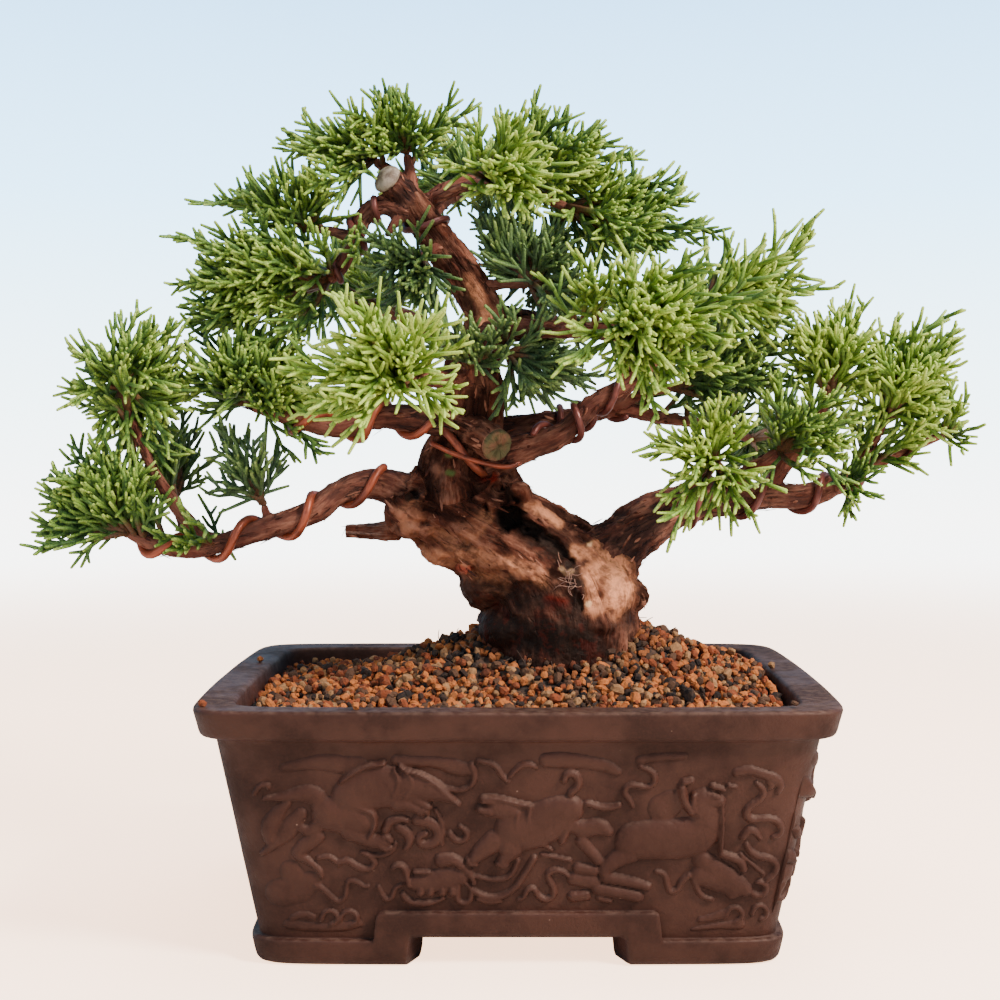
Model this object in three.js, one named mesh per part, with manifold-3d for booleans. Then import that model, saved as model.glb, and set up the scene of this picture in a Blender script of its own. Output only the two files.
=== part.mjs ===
// A juniper bonsai in a rectangular ceramic pot.
// Millimetres, +Z up, +X to the tree's long low branch on the right, +Y to the back.
// The origin is on the surface that the pot stands on, under the middle of the tree and pot.
import * as THREE from "three";
import { mergeVertices } from "three/addons/utils/BufferGeometryUtils.js";
import Module from "manifold-3d";

const wasm = await Module();
wasm.setup();

// ---- Driving dimensions -------------------------------------------------------------------

const GAP = 0.35; // clear distance between neighbouring pieces
const FINE = 0.12; // joined shapes keep no detail finer than this

// Pot, as seen from above a rectangle with slightly bowed sides and round corners.
const POT_HALF_WIDTH = 83; // rim, along X
const POT_HALF_DEPTH = 64; // rim, along Y
const POT_HEIGHT = 66.7;
const PLAN_POWER = 16; // superellipse exponent of the plan
const PLAN_BOW = 0.024; // how far each side bows out, as a share of the half size
const PLAN_POINTS = 28;
const RIM_HEIGHT = 7.6;
const RIM_OVERHANG = 5; // rim beyond the wall below it
const RIM_LIP = 10; // width of the flat lip
const WALL = 6; // thickness of the tapering wall
const WALL_INSET_LOW = 14; // wall's inset from the rim at the foot band
const FLOOR_UNDER = 7.6; // underside of the pot's floor
const FLOOR_TOP = 13;
const FOOT_PROUD = 2; // foot band beyond the wall
const FOOT_BAND_TOP = 6.9; // at the corners
const STEP_BAND_TOP = 14.4; // raised middle stretch of the band
const STEP_HALF_LONG = 36.7;
const STEP_HALF_SHORT = 25;
const ARCH_HALF_LONG = 29; // gap between the feet, long sides
const ARCH_HALF_SHORT = 18;
const FOOT_WIDTH = 9; // thickness of the foot ring
const DRAIN_RADIUS = 8;
const DRAIN_X = 32;

// The carving's main masses on a long side: x, z, half length, half height, tilt in degrees and
// how proud they stand. A short side carries those about CARVING_SHIFT.
const CARVINGS = [
  [-38.5, 44, 10, 6, 10, 1.3], [-22.5, 46.6, 5.5, 3.2, -20, 1.3], [-58, 38, 4, 7, 10, 0.8],
  [-20.5, 22.6, 7.5, 3.2, 3, 0.9], [-20, 34.8, 6, 3.6, 0, 0.8], [6, 37.6, 8.5, 5, 15, 1.3],
  [-7, 42.2, 4.4, 2.8, 5, 1.2], [23.5, 22, 8, 3.8, -12, 0.9], [36.5, 34, 9, 5, 3, 1.3],
  [49, 40, 3, 6, 0, 1.3], [51, 24, 7, 3.8, -28, 0.9], [60.5, 37, 3.4, 5, -5, 0.8],
  [1.5, 20.5, 7, 2.8, 0, 0.7], [-45, 21, 8, 3.2, 0, 0.6],
];
const CARVING_SHIFT = 33;
const CARVING_DEPTH = 1.5; // how far a mass is let into the wall
const CARVING_TOP = 0.7; // its flat top against its foot
const CARVING_SIDES = 4;

// Drainage screens, square plates with square openings.
const SCREEN_SIDE = 26;
const SCREEN_THICK = 1.2;
const SCREEN_HOLES = 3;
const SCREEN_HOLE_SIDE = 5.6;

// Soil.
const SOIL_EDGE_Z = 61.5;
const MOUND_HEIGHT = 22.5;
const MOUND_CENTRE = [14, 9];
const MOUND_SPREAD = [46, 33];
const GRAIN_HEIGHT = 0.9;
const SOIL_RINGS = 7;
const LUMP_HEIGHT = 0.9; // wide rises and dips of the heaped granules
const LUMP_RATES = [0.26, 0.24, 0.15, 0.19]; // radians a millimetre
const TRUNK_HOLE_Z = 55.5;

// Wood: stations [x, y, z, radius] along each limb, from where it grows to its end.
const LIMBS = {
  lowerTrunk: [[12, 0, 58, 20.5], [13, 0, 70, 21], [13.5, 0, 82, 21], [10, 0, 92, 20], [2, 0, 100, 17.5],
    [-8, 0, 106, 15.5], [-17, 0, 111, 14], [-25, 0, 115, 11.5], [-31, 0, 118, 7.5]],
  upperTrunk: [[-15, 0, 106, 11], [-18, 0, 116, 13.5], [-18, 0, 125, 10.5], [-14, 0, 134, 9],
    [-12, 0, 145, 9], [-13, 1, 153, 8], [-10, 2, 160, 6.8], [-9, 3, 168, 6.5], [-14, 3, 177.5, 6],
    [-20, 2, 186, 5.6], [-26, 0, 194, 5.3], [-31, -2, 201.5, 4.5]],
  ridge: [[22, 2, 90, 14], [16, 2, 103, 11.5], [7, 3, 111, 9], [-3, 3, 118, 7.5], [-9, 2, 127, 7.5]],
  rightLower: [[22, 2, 96, 13], [33.5, 4, 105.5, 9.5], [42.5, 6, 111.5, 7.5], [53, 8, 115.5, 6],
    [63.5, 9, 116, 5], [73.5, 10, 116.5, 4.2], [84, 11, 116.5, 3.6], [92.5, 11, 119.5, 3],
    [99.5, 12, 123.5, 2.4], [108, 13, 127.5, 1.9], [116.5, 13, 131, 1.6], [124, 14, 134, 1.3]],
  leftLower: [[-30, -1, 117, 6.5], [-39.5, -4, 120.5, 4.2], [-49, -8, 118.5, 3.5], [-55.5, -10, 113.5, 3.4],
    [-64.5, -12, 110, 3.3], [-73.5, -14, 107, 3.1], [-83, -15, 104, 2.9], [-92.5, -16, 103, 2.5],
    [-100, -17, 104.5, 2], [-105.5, -18, 107, 1.5]],
  middleLeft: [[-11, -2, 135, 5.5], [-20, -5, 137.5, 4.4], [-31.5, -8, 139, 3.8], [-39, -10, 139, 3.4],
    [-49, -10, 136, 3], [-59, -9, 138, 2.6], [-67, -7, 140, 2.2], [-74, -5, 142.5, 1.7]],
  cutLimb: [[-16, -4, 136.5, 5], [-10, -10, 134, 4.8], [-5, -16, 131, 4.6]],
  frontLeft: [[-14, -2, 150, 4], [-19.5, -16, 149.5, 3], [-24.5, -32, 149, 2.4], [-29.5, -48, 147.5, 1.9]],
  middleRight: [[-8, -3, 127, 6], [2, -6, 130.5, 4.2], [11.5, -8, 134, 3.6], [17.5, -8, 139, 3.2],
    [21.5, -8, 143, 2.9], [32.5, -7, 149.5, 2.6], [44.5, -6, 162.5, 2.2], [53, -6, 171.5, 1.8]],
  backRightLow: [[-6, 2, 134, 5], [6, 3, 137, 3.8], [12, 5, 138, 3.4], [20.5, 8, 140, 3],
    [27.5, 10, 142, 2.6], [41.5, 14, 139.5, 2.2], [57, 22, 137, 1.8], [71.5, 34, 133, 1.5]],
  rightFront: [[-9, -1, 163, 4.5], [3, -10, 163.5, 3], [15, -20, 162.5, 2.5], [27.5, -32, 162, 2]],
  upperLeft: [[-28, -2, 196.5, 3.6], [-38, -3, 199, 3], [-42.5, -3, 196.5, 2.9], [-45.5, -3, 189.5, 2.6],
    [-50, -2, 181, 2.2], [-53, -2, 178, 1.8]],
  cutStub: [[-29, -1, 199, 4.6], [-32.5, -4, 202.5, 4.2], [-35.5, -7, 205, 4]],
  redStem: [[-84, -15, 105, 2], [-92, -15, 112.5, 1.9], [-97.5, -15, 120.5, 1.8], [-102.5, -15, 130, 1.6],
    [-106.5, -15, 140, 1.5], [-108, -15, 146.5, 1.3]],
  leftInner: [[-89, -15, 104, 1.6], [-93.5, -8, 109.5, 1.4], [-97, 0, 116, 1.2]],
  leftUpright: [[-68, -12, 108.5, 1.5], [-70, -12, 114.5, 1.2]],
  upperLeftTwig: [[-46, -3, 189.5, 1.8], [-53, -1.5, 192, 1.5], [-59, 0, 192.5, 1.2]],
  apexLeft: [[-31, 0, 202, 3], [-35, 3, 208.5, 2], [-40.5, 4, 212.5, 1.4]],
  apexMiddle: [[-30, 1, 201, 2.6], [-30.5, 4, 208.5, 1.8], [-31.5, 4, 214.5, 1.3]],
  apexRight: [[-28, 1, 198, 3.2], [-20, 4, 204.5, 2.4], [-8, 5, 209, 1.9], [0, 5, 210, 1.5]],
  apexFarRight: [[-14, 4.5, 206.5, 1.9], [2, 2, 203.5, 1.7], [14, 0, 199, 1.4]],
  apexFront: [[-24, 2, 201.5, 2], [-14, -8, 203.5, 1.7], [-7.5, -20, 202.5, 1.3]],
  apexBack: [[-26, 1, 196, 2.6], [-20.5, 14, 203, 2], [-13.5, 26, 208, 1.5]],
  innerLeft: [[-22, 0, 188, 2], [-24.5, -7, 185, 1.4], [-26.5, -10, 183.5, 1.2]],
  innerRight: [[-12, 2, 176, 2.4], [-4, 0, 177, 1.5], [3, -3, 176.5, 1.2]],
  innerFront: [[-13, -3, 150, 2], [-13, -9, 150.5, 1.4], [-12.5, -13, 152.5, 1.2]],
  hanging: [[-10, 0, 161, 1.8], [-6, -8, 158.5, 1.3], [-3, -13, 156.5, 1.1]],
  backLeft: [[-12, 3, 155, 4.5], [-22.5, 16, 163, 3], [-35, 30, 170.5, 2.4], [-46, 42, 174.5, 1.9]],
  backRight: [[-9, 4, 168.5, 4.2], [8.5, 18, 167.5, 2.8], [27, 32, 165, 2.3], [45.5, 44, 162.5, 1.8]],
  rightTwig: [[27.5, 9, 142, 1.8], [36.5, 7, 146, 1.4], [44.5, 5, 147.5, 1.2]],
  lowTwigA: [[57, 8, 116.5, 3], [67, 5, 124, 2.4], [74, 1, 129, 1.8]],
  lowTwigB: [[71.5, 10, 117.5, 2.8], [79.5, 9, 128, 2.3], [86.5, 7, 139, 1.9], [90, 5, 147, 1.5]],
  lowTwigC: [[96.5, 12, 122, 2], [102.5, 11, 130, 1.7], [107, 9, 139, 1.3]],
  lowTwigD: [[89, 11, 118, 1.7], [94.5, 8, 119.5, 1.3]],
  lowTwigE: [[44.5, 3, 113, 3], [49.5, -5, 120, 2.2], [54.5, -12, 126, 1.6]],
  deadStub: [[-33, -2, 107.5, 3.4], [-41.5, -3, 107, 2.4], [-48.5, -3, 107, 2.1]],
  shortStub: [[-31, -2, 197.5, 1.8], [-34.5, -5, 193.5, 1.4], [-36.5, -6, 190, 1]],
};
const CAP_PROFILE = [[0, 0], [4.3, 0], [4.3, 1], [3.2, 2.5], [0, 3.2]]; // paste on the cut stub
const THICK_LIMB = 7; // limbs thicker than this have more sides and deeper flutes
const THICK_SIDES = 10;
const THIN_LIMB = 2.5; // limbs thinner than this have fewest sides
const FLUTE_DEPTH = 0.06; // of the radius, on thick limbs
// Swellings and the hollow of the trunk: centre and half sizes.
const BURL = [[-31, -6, 112.5], [6.5, 7.5, 7]];
const SHOULDER = [[26, 0, 96], [9, 9, 7]];
const HOLLOW = [[-1, -15, 109], [7.5, 11, 4.5]];

// Training wires: the limb, how far along it they run, turns, wire radius and first angle.
const WIRES = [
  { name: "wire_left_lower", limb: "leftLower", span: [0.1, 0.95], turns: 3.7, radius: 1.2, start: 0.3 },
  { name: "wire_middle_left", limb: "middleLeft", span: [0.2, 0.95], turns: 3, radius: 1.2, start: 0.5 },
  { name: "wire_upper_trunk", limb: "upperTrunk", span: [0.18, 0.35], turns: 0.62, radius: 1.2, start: 0.3 },
  { name: "wire_right_lower", limb: "rightLower", span: [0.22, 0.93], turns: 4.4, radius: 1.1, start: 0.3 },
  { name: "wire_middle_right", limb: "middleRight", span: [0.2, 0.93], turns: 3.1, radius: 1, start: 0.6 },
  { name: "wire_back_right", limb: "backRightLow", span: [0.2, 0.62], turns: 2.2, radius: 1, start: 0.2 },
  { name: "wire_upper_left", limb: "upperLeft", span: [0.25, 0.9], turns: 2.3, radius: 1, start: 0.4 },
  { name: "wire_apex", limb: "upperTrunk", span: [0.84, 0.97], turns: 1.5, radius: 1, start: 0.7 },
];
const WIRE_STEP = 4.1;
const WIRE_SIDES = 4;
const COIL_STATIONS = 9; // points of the middle line in a turn

// Foliage: each tuft grows from its twig's end and reaches for its tips.
const TUFTS = [
  { name: "left_tip", limb: "leftLower", tips: [[-133.5, -18, 110], [-131.5, -8, 124], [-128, -26, 104]] },
  { name: "left_stem", limb: "redStem",
    tips: [[-104.5, -14, 167], [-118, -18, 155], [-120.5, -16, 136], [-95.5, -8, 151.5]] },
  { name: "left_inner", limb: "leftInner", tips: [[-96.5, 8, 139], [-107, 12, 132]] },
  { name: "left_upright", limb: "leftUpright", tips: [[-64, -14, 137], [-83.5, -8, 137]] },
  { name: "middle_left", limb: "middleLeft",
    tips: [[-101.5, -10, 153.5], [-88.5, 2, 163], [-68, -14, 159]] },
  { name: "front_left", limb: "frontLeft",
    tips: [[-56, -68, 150], [-40.5, -77, 168.5], [-21, -76, 162.5], [-36.5, -70, 130]] },
  { name: "inner_front", limb: "innerFront", tips: [[-4, -26, 162], [-19, -26, 160.5]] },
  { name: "upper_left_tip", limb: "upperLeftTwig", tips: [[-93, 4, 205.5], [-71.5, -8, 207.5]] },
  { name: "upper_left", limb: "upperLeft", tips: [[-92, -10, 186], [-88.5, 2, 164], [-61.5, -18, 159]] },
  { name: "inner_left", limb: "innerLeft", tips: [[-35, -26, 187.5], [-22.5, -26, 175.5]] },
  { name: "apex_left", limb: "apexLeft", tips: [[-66.5, 4, 223], [-56, -16, 201.5], [-57, 24, 231]] },
  { name: "apex_middle", limb: "apexMiddle", tips: [[-35, 0, 236.5], [-14.5, 10, 233], [-47, -8, 230]] },
  { name: "apex_right", limb: "apexRight", tips: [[8, 2, 230.5], [34, 10, 226], [21, -14, 215.5]] },
  { name: "apex_front", limb: "apexFront", tips: [[7, -44, 193.5], [1.5, -40, 214], [-18, -44, 204]] },
  { name: "apex_far_right", limb: "apexFarRight", tips: [[52.5, 4, 204.5], [56, -6, 191], [34, -24, 183]] },
  { name: "apex_back", limb: "apexBack", tips: [[-19.5, 46, 231], [14, 58, 223.5], [-42.5, 56, 215]] },
  { name: "inner_right", limb: "innerRight", tips: [[17.5, -14, 169], [13.5, -12, 184.5]] },
  { name: "hanging", limb: "hanging", tips: [[0, -18, 140.5]] },
  { name: "front_right", limb: "rightFront",
    tips: [[13.5, -56, 153], [28, -54, 178], [46, -50, 180], [65, -48, 171.5], [54, -54, 148],
      [33, -56, 141]] },
  { name: "right_top", limb: "middleRight", tips: [[84.5, -8, 192], [81.5, -12, 175], [66, 0, 196]] },
  { name: "right_middle", limb: "rightTwig", tips: [[62, -8, 140], [59.5, 12, 156.5]] },
  { name: "low_front", limb: "lowTwigE",
    tips: [[27.5, -24, 132], [40.5, -26, 107.5], [63, -24, 112.5], [58, -26, 144.5]] },
  { name: "low_middle", limb: "lowTwigA", tips: [[89.5, -8, 147.5], [80.5, -14, 119.5]] },
  { name: "low_upper", limb: "lowTwigB", tips: [[99, 0, 173], [76, -6, 167.5], [97, 24, 161.5]] },
  { name: "low_right", limb: "lowTwigC", tips: [[126, 4, 160], [110, 12, 166]] },
  { name: "right_tip", limb: "rightLower", tips: [[138, 13, 139.5], [131, 6, 126], [130, 18, 149]] },
  { name: "low_under", limb: "lowTwigD", tips: [[103, 0, 113]] },
  { name: "back_left", limb: "backLeft", tips: [[-86, 60, 182], [-61, 76, 201], [-33, 78, 174.5]] },
  { name: "back_right", limb: "backRight", tips: [[87, 62, 171.5], [59, 75, 190.5], [29, 78, 174.5]] },
  { name: "back_low", limb: "backRightLow", tips: [[109, 54, 139.5], [77.5, 74, 127]] },
];
const NEEDLE_SPACING = 8.1; // along a finger of a tuft
const NEEDLE_LENGTH = [13, 7]; // at the finger's foot and at its end
const NEEDLE_RADIUS = 0.75; // at its end
const NEEDLE_FOOT_RADIUS = 0.45;
const FINGER_RADIUS = [1.3, 1];
const FINGER_FOOT_RADIUS = 0.5; // where a finger meets its twig
const FINGER_BOW = 0.08; // upward bow, of its length
const FINGER_TRIES = 14; // bends tried until a finger is clear
const BARE_SHARE = 0.22; // stretch of a finger with no shoots
const SIDE_LEAN = 0.75; // angle of a shoot from its finger
const END_LEAN = 0.35;
const SHOOT_TRIES = 8; // directions tried until a shoot is clear
const TRY_TURN = 0.8;
const TWIG_GAP = 0.85; // from the twig's end to the tuft's foot
const GOLDEN_ANGLE = 2.39996;
const SEED = 4353;

// ---- Finishes -----------------------------------------------------------------------------

const finish = (color, roughness, metalness = 0) => ({ color, roughness, metalness });
const FINISHES = {
  ceramic: finish(0x4d322b, 0.62),
  soil: finish(0x8a5a3c, 0.95),
  screen: finish(0x2a2a2a, 0.6),
  bark: finish(0x7a4a36, 0.85),
  wire: finish(0x8f4a30, 0.4, 0.6),
  paste: finish(0x5b4a3c, 0.7),
  foliage: finish(0x4f7a2c, 0.6),
};

// ---- Solids -------------------------------------------------------------------------------

const bonsai = new THREE.Group();

// A closed geometry as a solid that can be joined and cut.
function solid(geometry) {
  const bare = geometry.clone().deleteAttribute("normal").deleteAttribute("uv");
  const merged = mergeVertices(bare, 1e-4);
  return new wasm.Manifold(new wasm.Mesh({
    numProp: 3,
    vertProperties: new Float32Array(merged.attributes.position.array),
    triVerts: new Uint32Array(merged.index.array),
  }));
}

// The largest body of a solid: scraps that a cut leaves loose are dropped.
function mainBody(shape) {
  return shape.decompose().sort((a, b) => b.volume() - a.volume())[0];
}

// Adds a solid to the tree as a named mesh.
function place(name, shape, look) {
  const { vertProperties, triVerts } = mainBody(shape).getMesh();
  const geometry = new THREE.BufferGeometry();
  geometry.setAttribute("position", new THREE.BufferAttribute(vertProperties, 3));
  geometry.setIndex(new THREE.BufferAttribute(triVerts, 1));
  geometry.computeVertexNormals();
  const mesh = new THREE.Mesh(geometry, new THREE.MeshStandardMaterial(FINISHES[look]));
  mesh.name = name;
  bonsai.add(mesh);
}

function box(x0, x1, y0, y1, z0, z1) {
  const geometry = new THREE.BoxGeometry(x1 - x0, y1 - y0, z1 - z0);
  return solid(geometry.translate((x0 + x1) / 2, (y0 + y1) / 2, (z0 + z1) / 2));
}

// A seeded stream of numbers from 0 to 1.
function randomStream(seed) {
  let state = seed;
  return () => {
    state = (state * 1664525 + 1013904223) % 4294967296;
    return state / 4294967296;
  };
}

// ---- Pot ----------------------------------------------------------------------------------

// A point of the plan outline at turn t (0 to 1), inset from the rim.
function planPoint(t, inset) {
  const angle = 2 * Math.PI * t;
  const [c, s] = [Math.cos(angle), Math.sin(angle)];
  const bend = (v, half) => Math.sign(v) * half * Math.abs(v) ** (2 / PLAN_POWER);
  const [x, y] = [bend(c, POT_HALF_WIDTH - inset), bend(s, POT_HALF_DEPTH - inset)];
  return [
    x * (1 - PLAN_BOW * (y / POT_HALF_DEPTH) ** 2), y * (1 - PLAN_BOW * (x / POT_HALF_WIDTH) ** 2),
  ];
}

// Turns that share the outline's points between its long sides and its corners.
const PLAN_TURNS = (() => {
  const perQuarter = PLAN_POINTS / 4;
  return Array.from({ length: PLAN_POINTS }, (_, i) => {
    const u = (i % perQuarter) / perQuarter;
    const even = u - Math.sin(4 * Math.PI * u) / (4 * Math.PI) * 0.2;
    return (Math.floor(i / perQuarter) + even) / 4;
  });
})();

// A profile of [inset, z] corners carried round the plan outline, with flat faces over its first
// and last rings.
function carryRoundPlan(profile) {
  const positions = [];
  const index = [];
  const n = PLAN_TURNS.length;
  const id = (row, i) => row * n + (i % n);
  for (const [inset, z] of profile) {
    PLAN_TURNS.forEach((t) => positions.push(...planPoint(t, inset), z));
  }
  const last = profile.length - 1;
  for (let row = 0; row < last; row += 1) {
    for (let i = 0; i < n; i += 1) {
      index.push(id(row, i), id(row, i + 1), id(row + 1, i + 1));
      index.push(id(row, i), id(row + 1, i + 1), id(row + 1, i));
    }
  }
  const low = positions.push(0, 0, profile[0][1]) / 3 - 1;
  const high = positions.push(0, 0, profile[last][1]) / 3 - 1;
  for (let i = 0; i < n; i += 1) {
    index.push(id(0, i + 1), id(0, i), low);
    index.push(id(last, i), id(last, i + 1), high);
  }
  const geometry = new THREE.BufferGeometry();
  geometry.setAttribute("position", new THREE.Float32BufferAttribute(positions, 3));
  return solid(geometry.setIndex(index));
}

const rimUnder = POT_HEIGHT - RIM_HEIGHT;
const wallInset = (z) => {
  const down = (rimUnder - z) / (rimUnder - STEP_BAND_TOP);
  return RIM_OVERHANG + (WALL_INSET_LOW - RIM_OVERHANG) * down;
};
const cavityInset = (z) => wallInset(z) + WALL;

// The carving's masses that lie within a side of the pot, as lumps with flat tops.
function makeCarvings(half, depth, shift) {
  const slope = Math.atan2(WALL_INSET_LOW - RIM_OVERHANG, rimUnder - STEP_BAND_TOP);
  const onSide = CARVINGS.filter(([x, z, length]) => (
    Math.abs(x - shift) + length < half - wallInset(z) - 1));
  return onSide.map(([x, z, length, height, tilt, proud]) => {
    const reach = Math.abs(x - shift) / (half - wallInset(z));
    const bow = 1 - PLAN_BOW * reach ** 2;
    const wall = (depth - wallInset(z)) * (1 - reach ** PLAN_POWER) ** (1 / PLAN_POWER) * bow;
    const lump = new THREE.CylinderGeometry(1, CARVING_TOP, proud + CARVING_DEPTH, CARVING_SIDES)
      .scale(length, 1, height)
      .rotateY(-THREE.MathUtils.degToRad(tilt))
      .rotateX(slope)
      .translate(x - shift, (CARVING_DEPTH - proud) / 2 - wall, z);
    return solid(lump);
  });
}

function makePot() {
  const outer = carryRoundPlan([
    [wallInset(0) + 1, 0], [wallInset(rimUnder), rimUnder], [RIM_OVERHANG - 2.6, rimUnder],
    [1.2, rimUnder + 1.4], [0, POT_HEIGHT - 1.2], [1.1, POT_HEIGHT],
  ]);
  const cavity = carryRoundPlan([
    [cavityInset(FLOOR_TOP) + 2, FLOOR_TOP], [cavityInset(FLOOR_TOP + 4), FLOOR_TOP + 4],
    [RIM_LIP + 0.6, rimUnder], [RIM_LIP, POT_HEIGHT + 1],
  ]);
  const proud = (z) => wallInset(z) - FOOT_PROUD;
  const lowBand = carryRoundPlan([
    [proud(0) + 1.5, 0], [proud(1.5), 1.5], [proud(FOOT_BAND_TOP - 0.6), FOOT_BAND_TOP - 0.6],
    [proud(FOOT_BAND_TOP) + 1.2, FOOT_BAND_TOP],
  ]);
  const tallBand = carryRoundPlan([
    [proud(3), 3], [proud(STEP_BAND_TOP - 0.6), STEP_BAND_TOP - 0.6],
    [proud(STEP_BAND_TOP) + 1.2, STEP_BAND_TOP],
  ]);
  const middles = box(-STEP_HALF_LONG, STEP_HALF_LONG, -70, 70, 0, 20)
    .add(box(-90, 90, -STEP_HALF_SHORT, STEP_HALF_SHORT, 0, 20));
  const recess = carryRoundPlan([[proud(0) + FOOT_WIDTH, -1], [proud(0) + FOOT_WIDTH, FLOOR_UNDER]]);
  const arches = box(-ARCH_HALF_LONG, ARCH_HALF_LONG, -70, 70, -1, FLOOR_UNDER)
    .add(box(-90, 90, -ARCH_HALF_SHORT, ARCH_HALF_SHORT, -1, FLOOR_UNDER));
  const drain = (x) => solid(new THREE.CylinderGeometry(DRAIN_RADIUS, DRAIN_RADIUS, 20, 16)
    .rotateX(Math.PI / 2).translate(x, 0, FLOOR_TOP));
  const longSide = wasm.Manifold.union(makeCarvings(POT_HALF_WIDTH, POT_HALF_DEPTH, 0));
  const shortSide = wasm.Manifold.union(makeCarvings(POT_HALF_DEPTH, POT_HALF_WIDTH, CARVING_SHIFT));
  const carvings = [longSide, longSide.rotate([0, 0, 180]), shortSide.rotate([0, 0, 90]),
    shortSide.rotate([0, 0, 270])];
  return wasm.Manifold.union([outer, lowBand, tallBand.intersect(middles), ...carvings])
    .subtract(cavity).subtract(recess).subtract(arches)
    .subtract(drain(-DRAIN_X)).subtract(drain(DRAIN_X));
}

// ---- Drainage screens ---------------------------------------------------------------------

function makeScreen(x) {
  const [low, high] = [FLOOR_TOP + GAP, FLOOR_TOP + GAP + SCREEN_THICK];
  const square = (cx, cy, half, z0, z1) => box(cx - half, cx + half, cy - half, cy + half, z0, z1);
  let plate = square(x, 0, SCREEN_SIDE / 2, low, high);
  const pitch = SCREEN_SIDE / (SCREEN_HOLES + 0.2);
  const middle = (SCREEN_HOLES - 1) / 2;
  for (let row = 0; row < SCREEN_HOLES; row += 1) {
    for (let column = 0; column < SCREEN_HOLES; column += 1) {
      const [cx, cy] = [x + (column - middle) * pitch, (row - middle) * pitch];
      plate = plate.subtract(square(cx, cy, SCREEN_HOLE_SIDE / 2, low - 1, high + 1));
    }
  }
  return plate;
}

// ---- Soil ---------------------------------------------------------------------------------

const mound = (x, y) => {
  const out = [x, y].map((v, i) => (v - MOUND_CENTRE[i]) / MOUND_SPREAD[i]);
  const reach = out[0] ** 2 + out[1] ** 2;
  const [a, b, c, d] = LUMP_RATES;
  const lumps = Math.sin(a * x + 1) * Math.sin(b * y) + Math.sin(c * x - d * y + 2) / 2;
  return SOIL_EDGE_Z + MOUND_HEIGHT * Math.exp(-reach) + LUMP_HEIGHT * lumps;
};

function makeSoil() {
  const random = randomStream(SEED);
  const bottom = FLOOR_TOP + SCREEN_THICK + 2 * GAP;
  const n = PLAN_TURNS.length;
  const edge = (t, z) => planPoint(t, cavityInset(z) + GAP + (z < FLOOR_TOP + 4 ? 2 : 0));
  const rimEdge = (t) => planPoint(t, RIM_LIP + 0.8 + GAP);
  const positions = [0, 0, bottom];
  PLAN_TURNS.forEach((t) => positions.push(...edge(t, bottom), bottom));
  PLAN_TURNS.forEach((t) => positions.push(...edge(t, FLOOR_TOP + 4.1), FLOOR_TOP + 4.1));
  PLAN_TURNS.forEach((t) => positions.push(...rimEdge(t), rimUnder - 1));
  for (let ring = 0; ring < SOIL_RINGS; ring += 1) {
    const inward = 1 - ring / SOIL_RINGS;
    PLAN_TURNS.forEach((t) => {
      const [x, y] = rimEdge(t).map((v) => v * inward);
      positions.push(x, y, mound(x, y) + (random() - 0.5) * 2 * GRAIN_HEIGHT);
    });
  }
  const top = positions.push(0, 0, mound(0, 0)) / 3 - 1;
  const rows = SOIL_RINGS + 3;
  const id = (row, i) => 1 + row * n + (i % n);
  const index = [];
  for (let i = 0; i < n; i += 1) {
    index.push(0, id(0, i + 1), id(0, i), top, id(rows - 1, i), id(rows - 1, i + 1));
    for (let row = 0; row < rows - 1; row += 1) {
      index.push(id(row, i), id(row, i + 1), id(row + 1, i + 1));
      index.push(id(row, i), id(row + 1, i + 1), id(row + 1, i));
    }
  }
  const geometry = new THREE.BufferGeometry();
  geometry.setAttribute("position", new THREE.Float32BufferAttribute(positions, 3));
  const [x, , , foot] = LIMBS.lowerTrunk[0];
  const hole = solid(new THREE.CylinderGeometry(foot + 4, foot + 3, 40, 20)
    .rotateX(Math.PI / 2).translate(x + 0.5, 0, TRUNK_HOLE_Z + 20));
  return solid(geometry.setIndex(index)).subtract(hole);
}

// ---- Wood ---------------------------------------------------------------------------------

const vec = ([x, y, z]) => new THREE.Vector3(x, y, z);

// A limb as a curve with a radius at each share of its length.
function limbOf(stations) {
  const curve = new THREE.CatmullRomCurve3(stations.map(vec), false, "centripetal");
  const last = stations.length - 1;
  const radiusAt = (t) => {
    const k = Math.min(last - 1, Math.floor(t * last));
    const f = t * last - k;
    return stations[k][3] * (1 - f) + stations[k + 1][3] * f;
  };
  return { curve, radiusAt, last };
}

// The limb's frame at t: its middle, and two directions square to it.
function frameAt(curve, t) {
  const middle = curve.getPoint(t);
  const along = curve.getTangent(t);
  const side = new THREE.Vector3(0, 1, 0).addScaledVector(along, -along.y).normalize();
  return { middle, along, side, up: new THREE.Vector3().crossVectors(side, along) };
}

// A cylinder bent along a curve, with its radius from the share of the length and the angle.
function bendCylinder(curve, radiusAt, sides, steps) {
  const geometry = new THREE.CylinderGeometry(1, 1, 1, sides, steps);
  const corners = geometry.attributes.position;
  for (let i = 0; i < corners.count; i += 1) {
    const t = corners.getY(i) + 0.5;
    const [u, v] = [corners.getX(i), corners.getZ(i)];
    const { middle, side, up } = frameAt(curve, t);
    const radius = radiusAt(t, Math.atan2(v, u));
    const point = middle.addScaledVector(side, u * radius).addScaledVector(up, v * radius);
    corners.setXYZ(i, point.x, point.y, point.z);
  }
  return solid(geometry);
}

// A limb's solid: its section is fluted and tapers.
function makeLimb(stations, order) {
  const { curve, radiusAt, last } = limbOf(stations);
  const thick = stations[0][3] > THICK_LIMB;
  const flute = thick ? FLUTE_DEPTH : 0;
  const fluted = (t, angle) => {
    const wave = Math.sin(3 * angle + 5 * t + order) + 0.7 * Math.sin(5 * angle - 7 * t);
    return radiusAt(t) * (1 + flute * wave);
  };
  if (thick) return bendCylinder(curve, fluted, THICK_SIDES, Math.round(last * 1.25));
  return bendCylinder(curve, fluted, stations[0][3] > THIN_LIMB ? 5 : 4, last);
}

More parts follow.
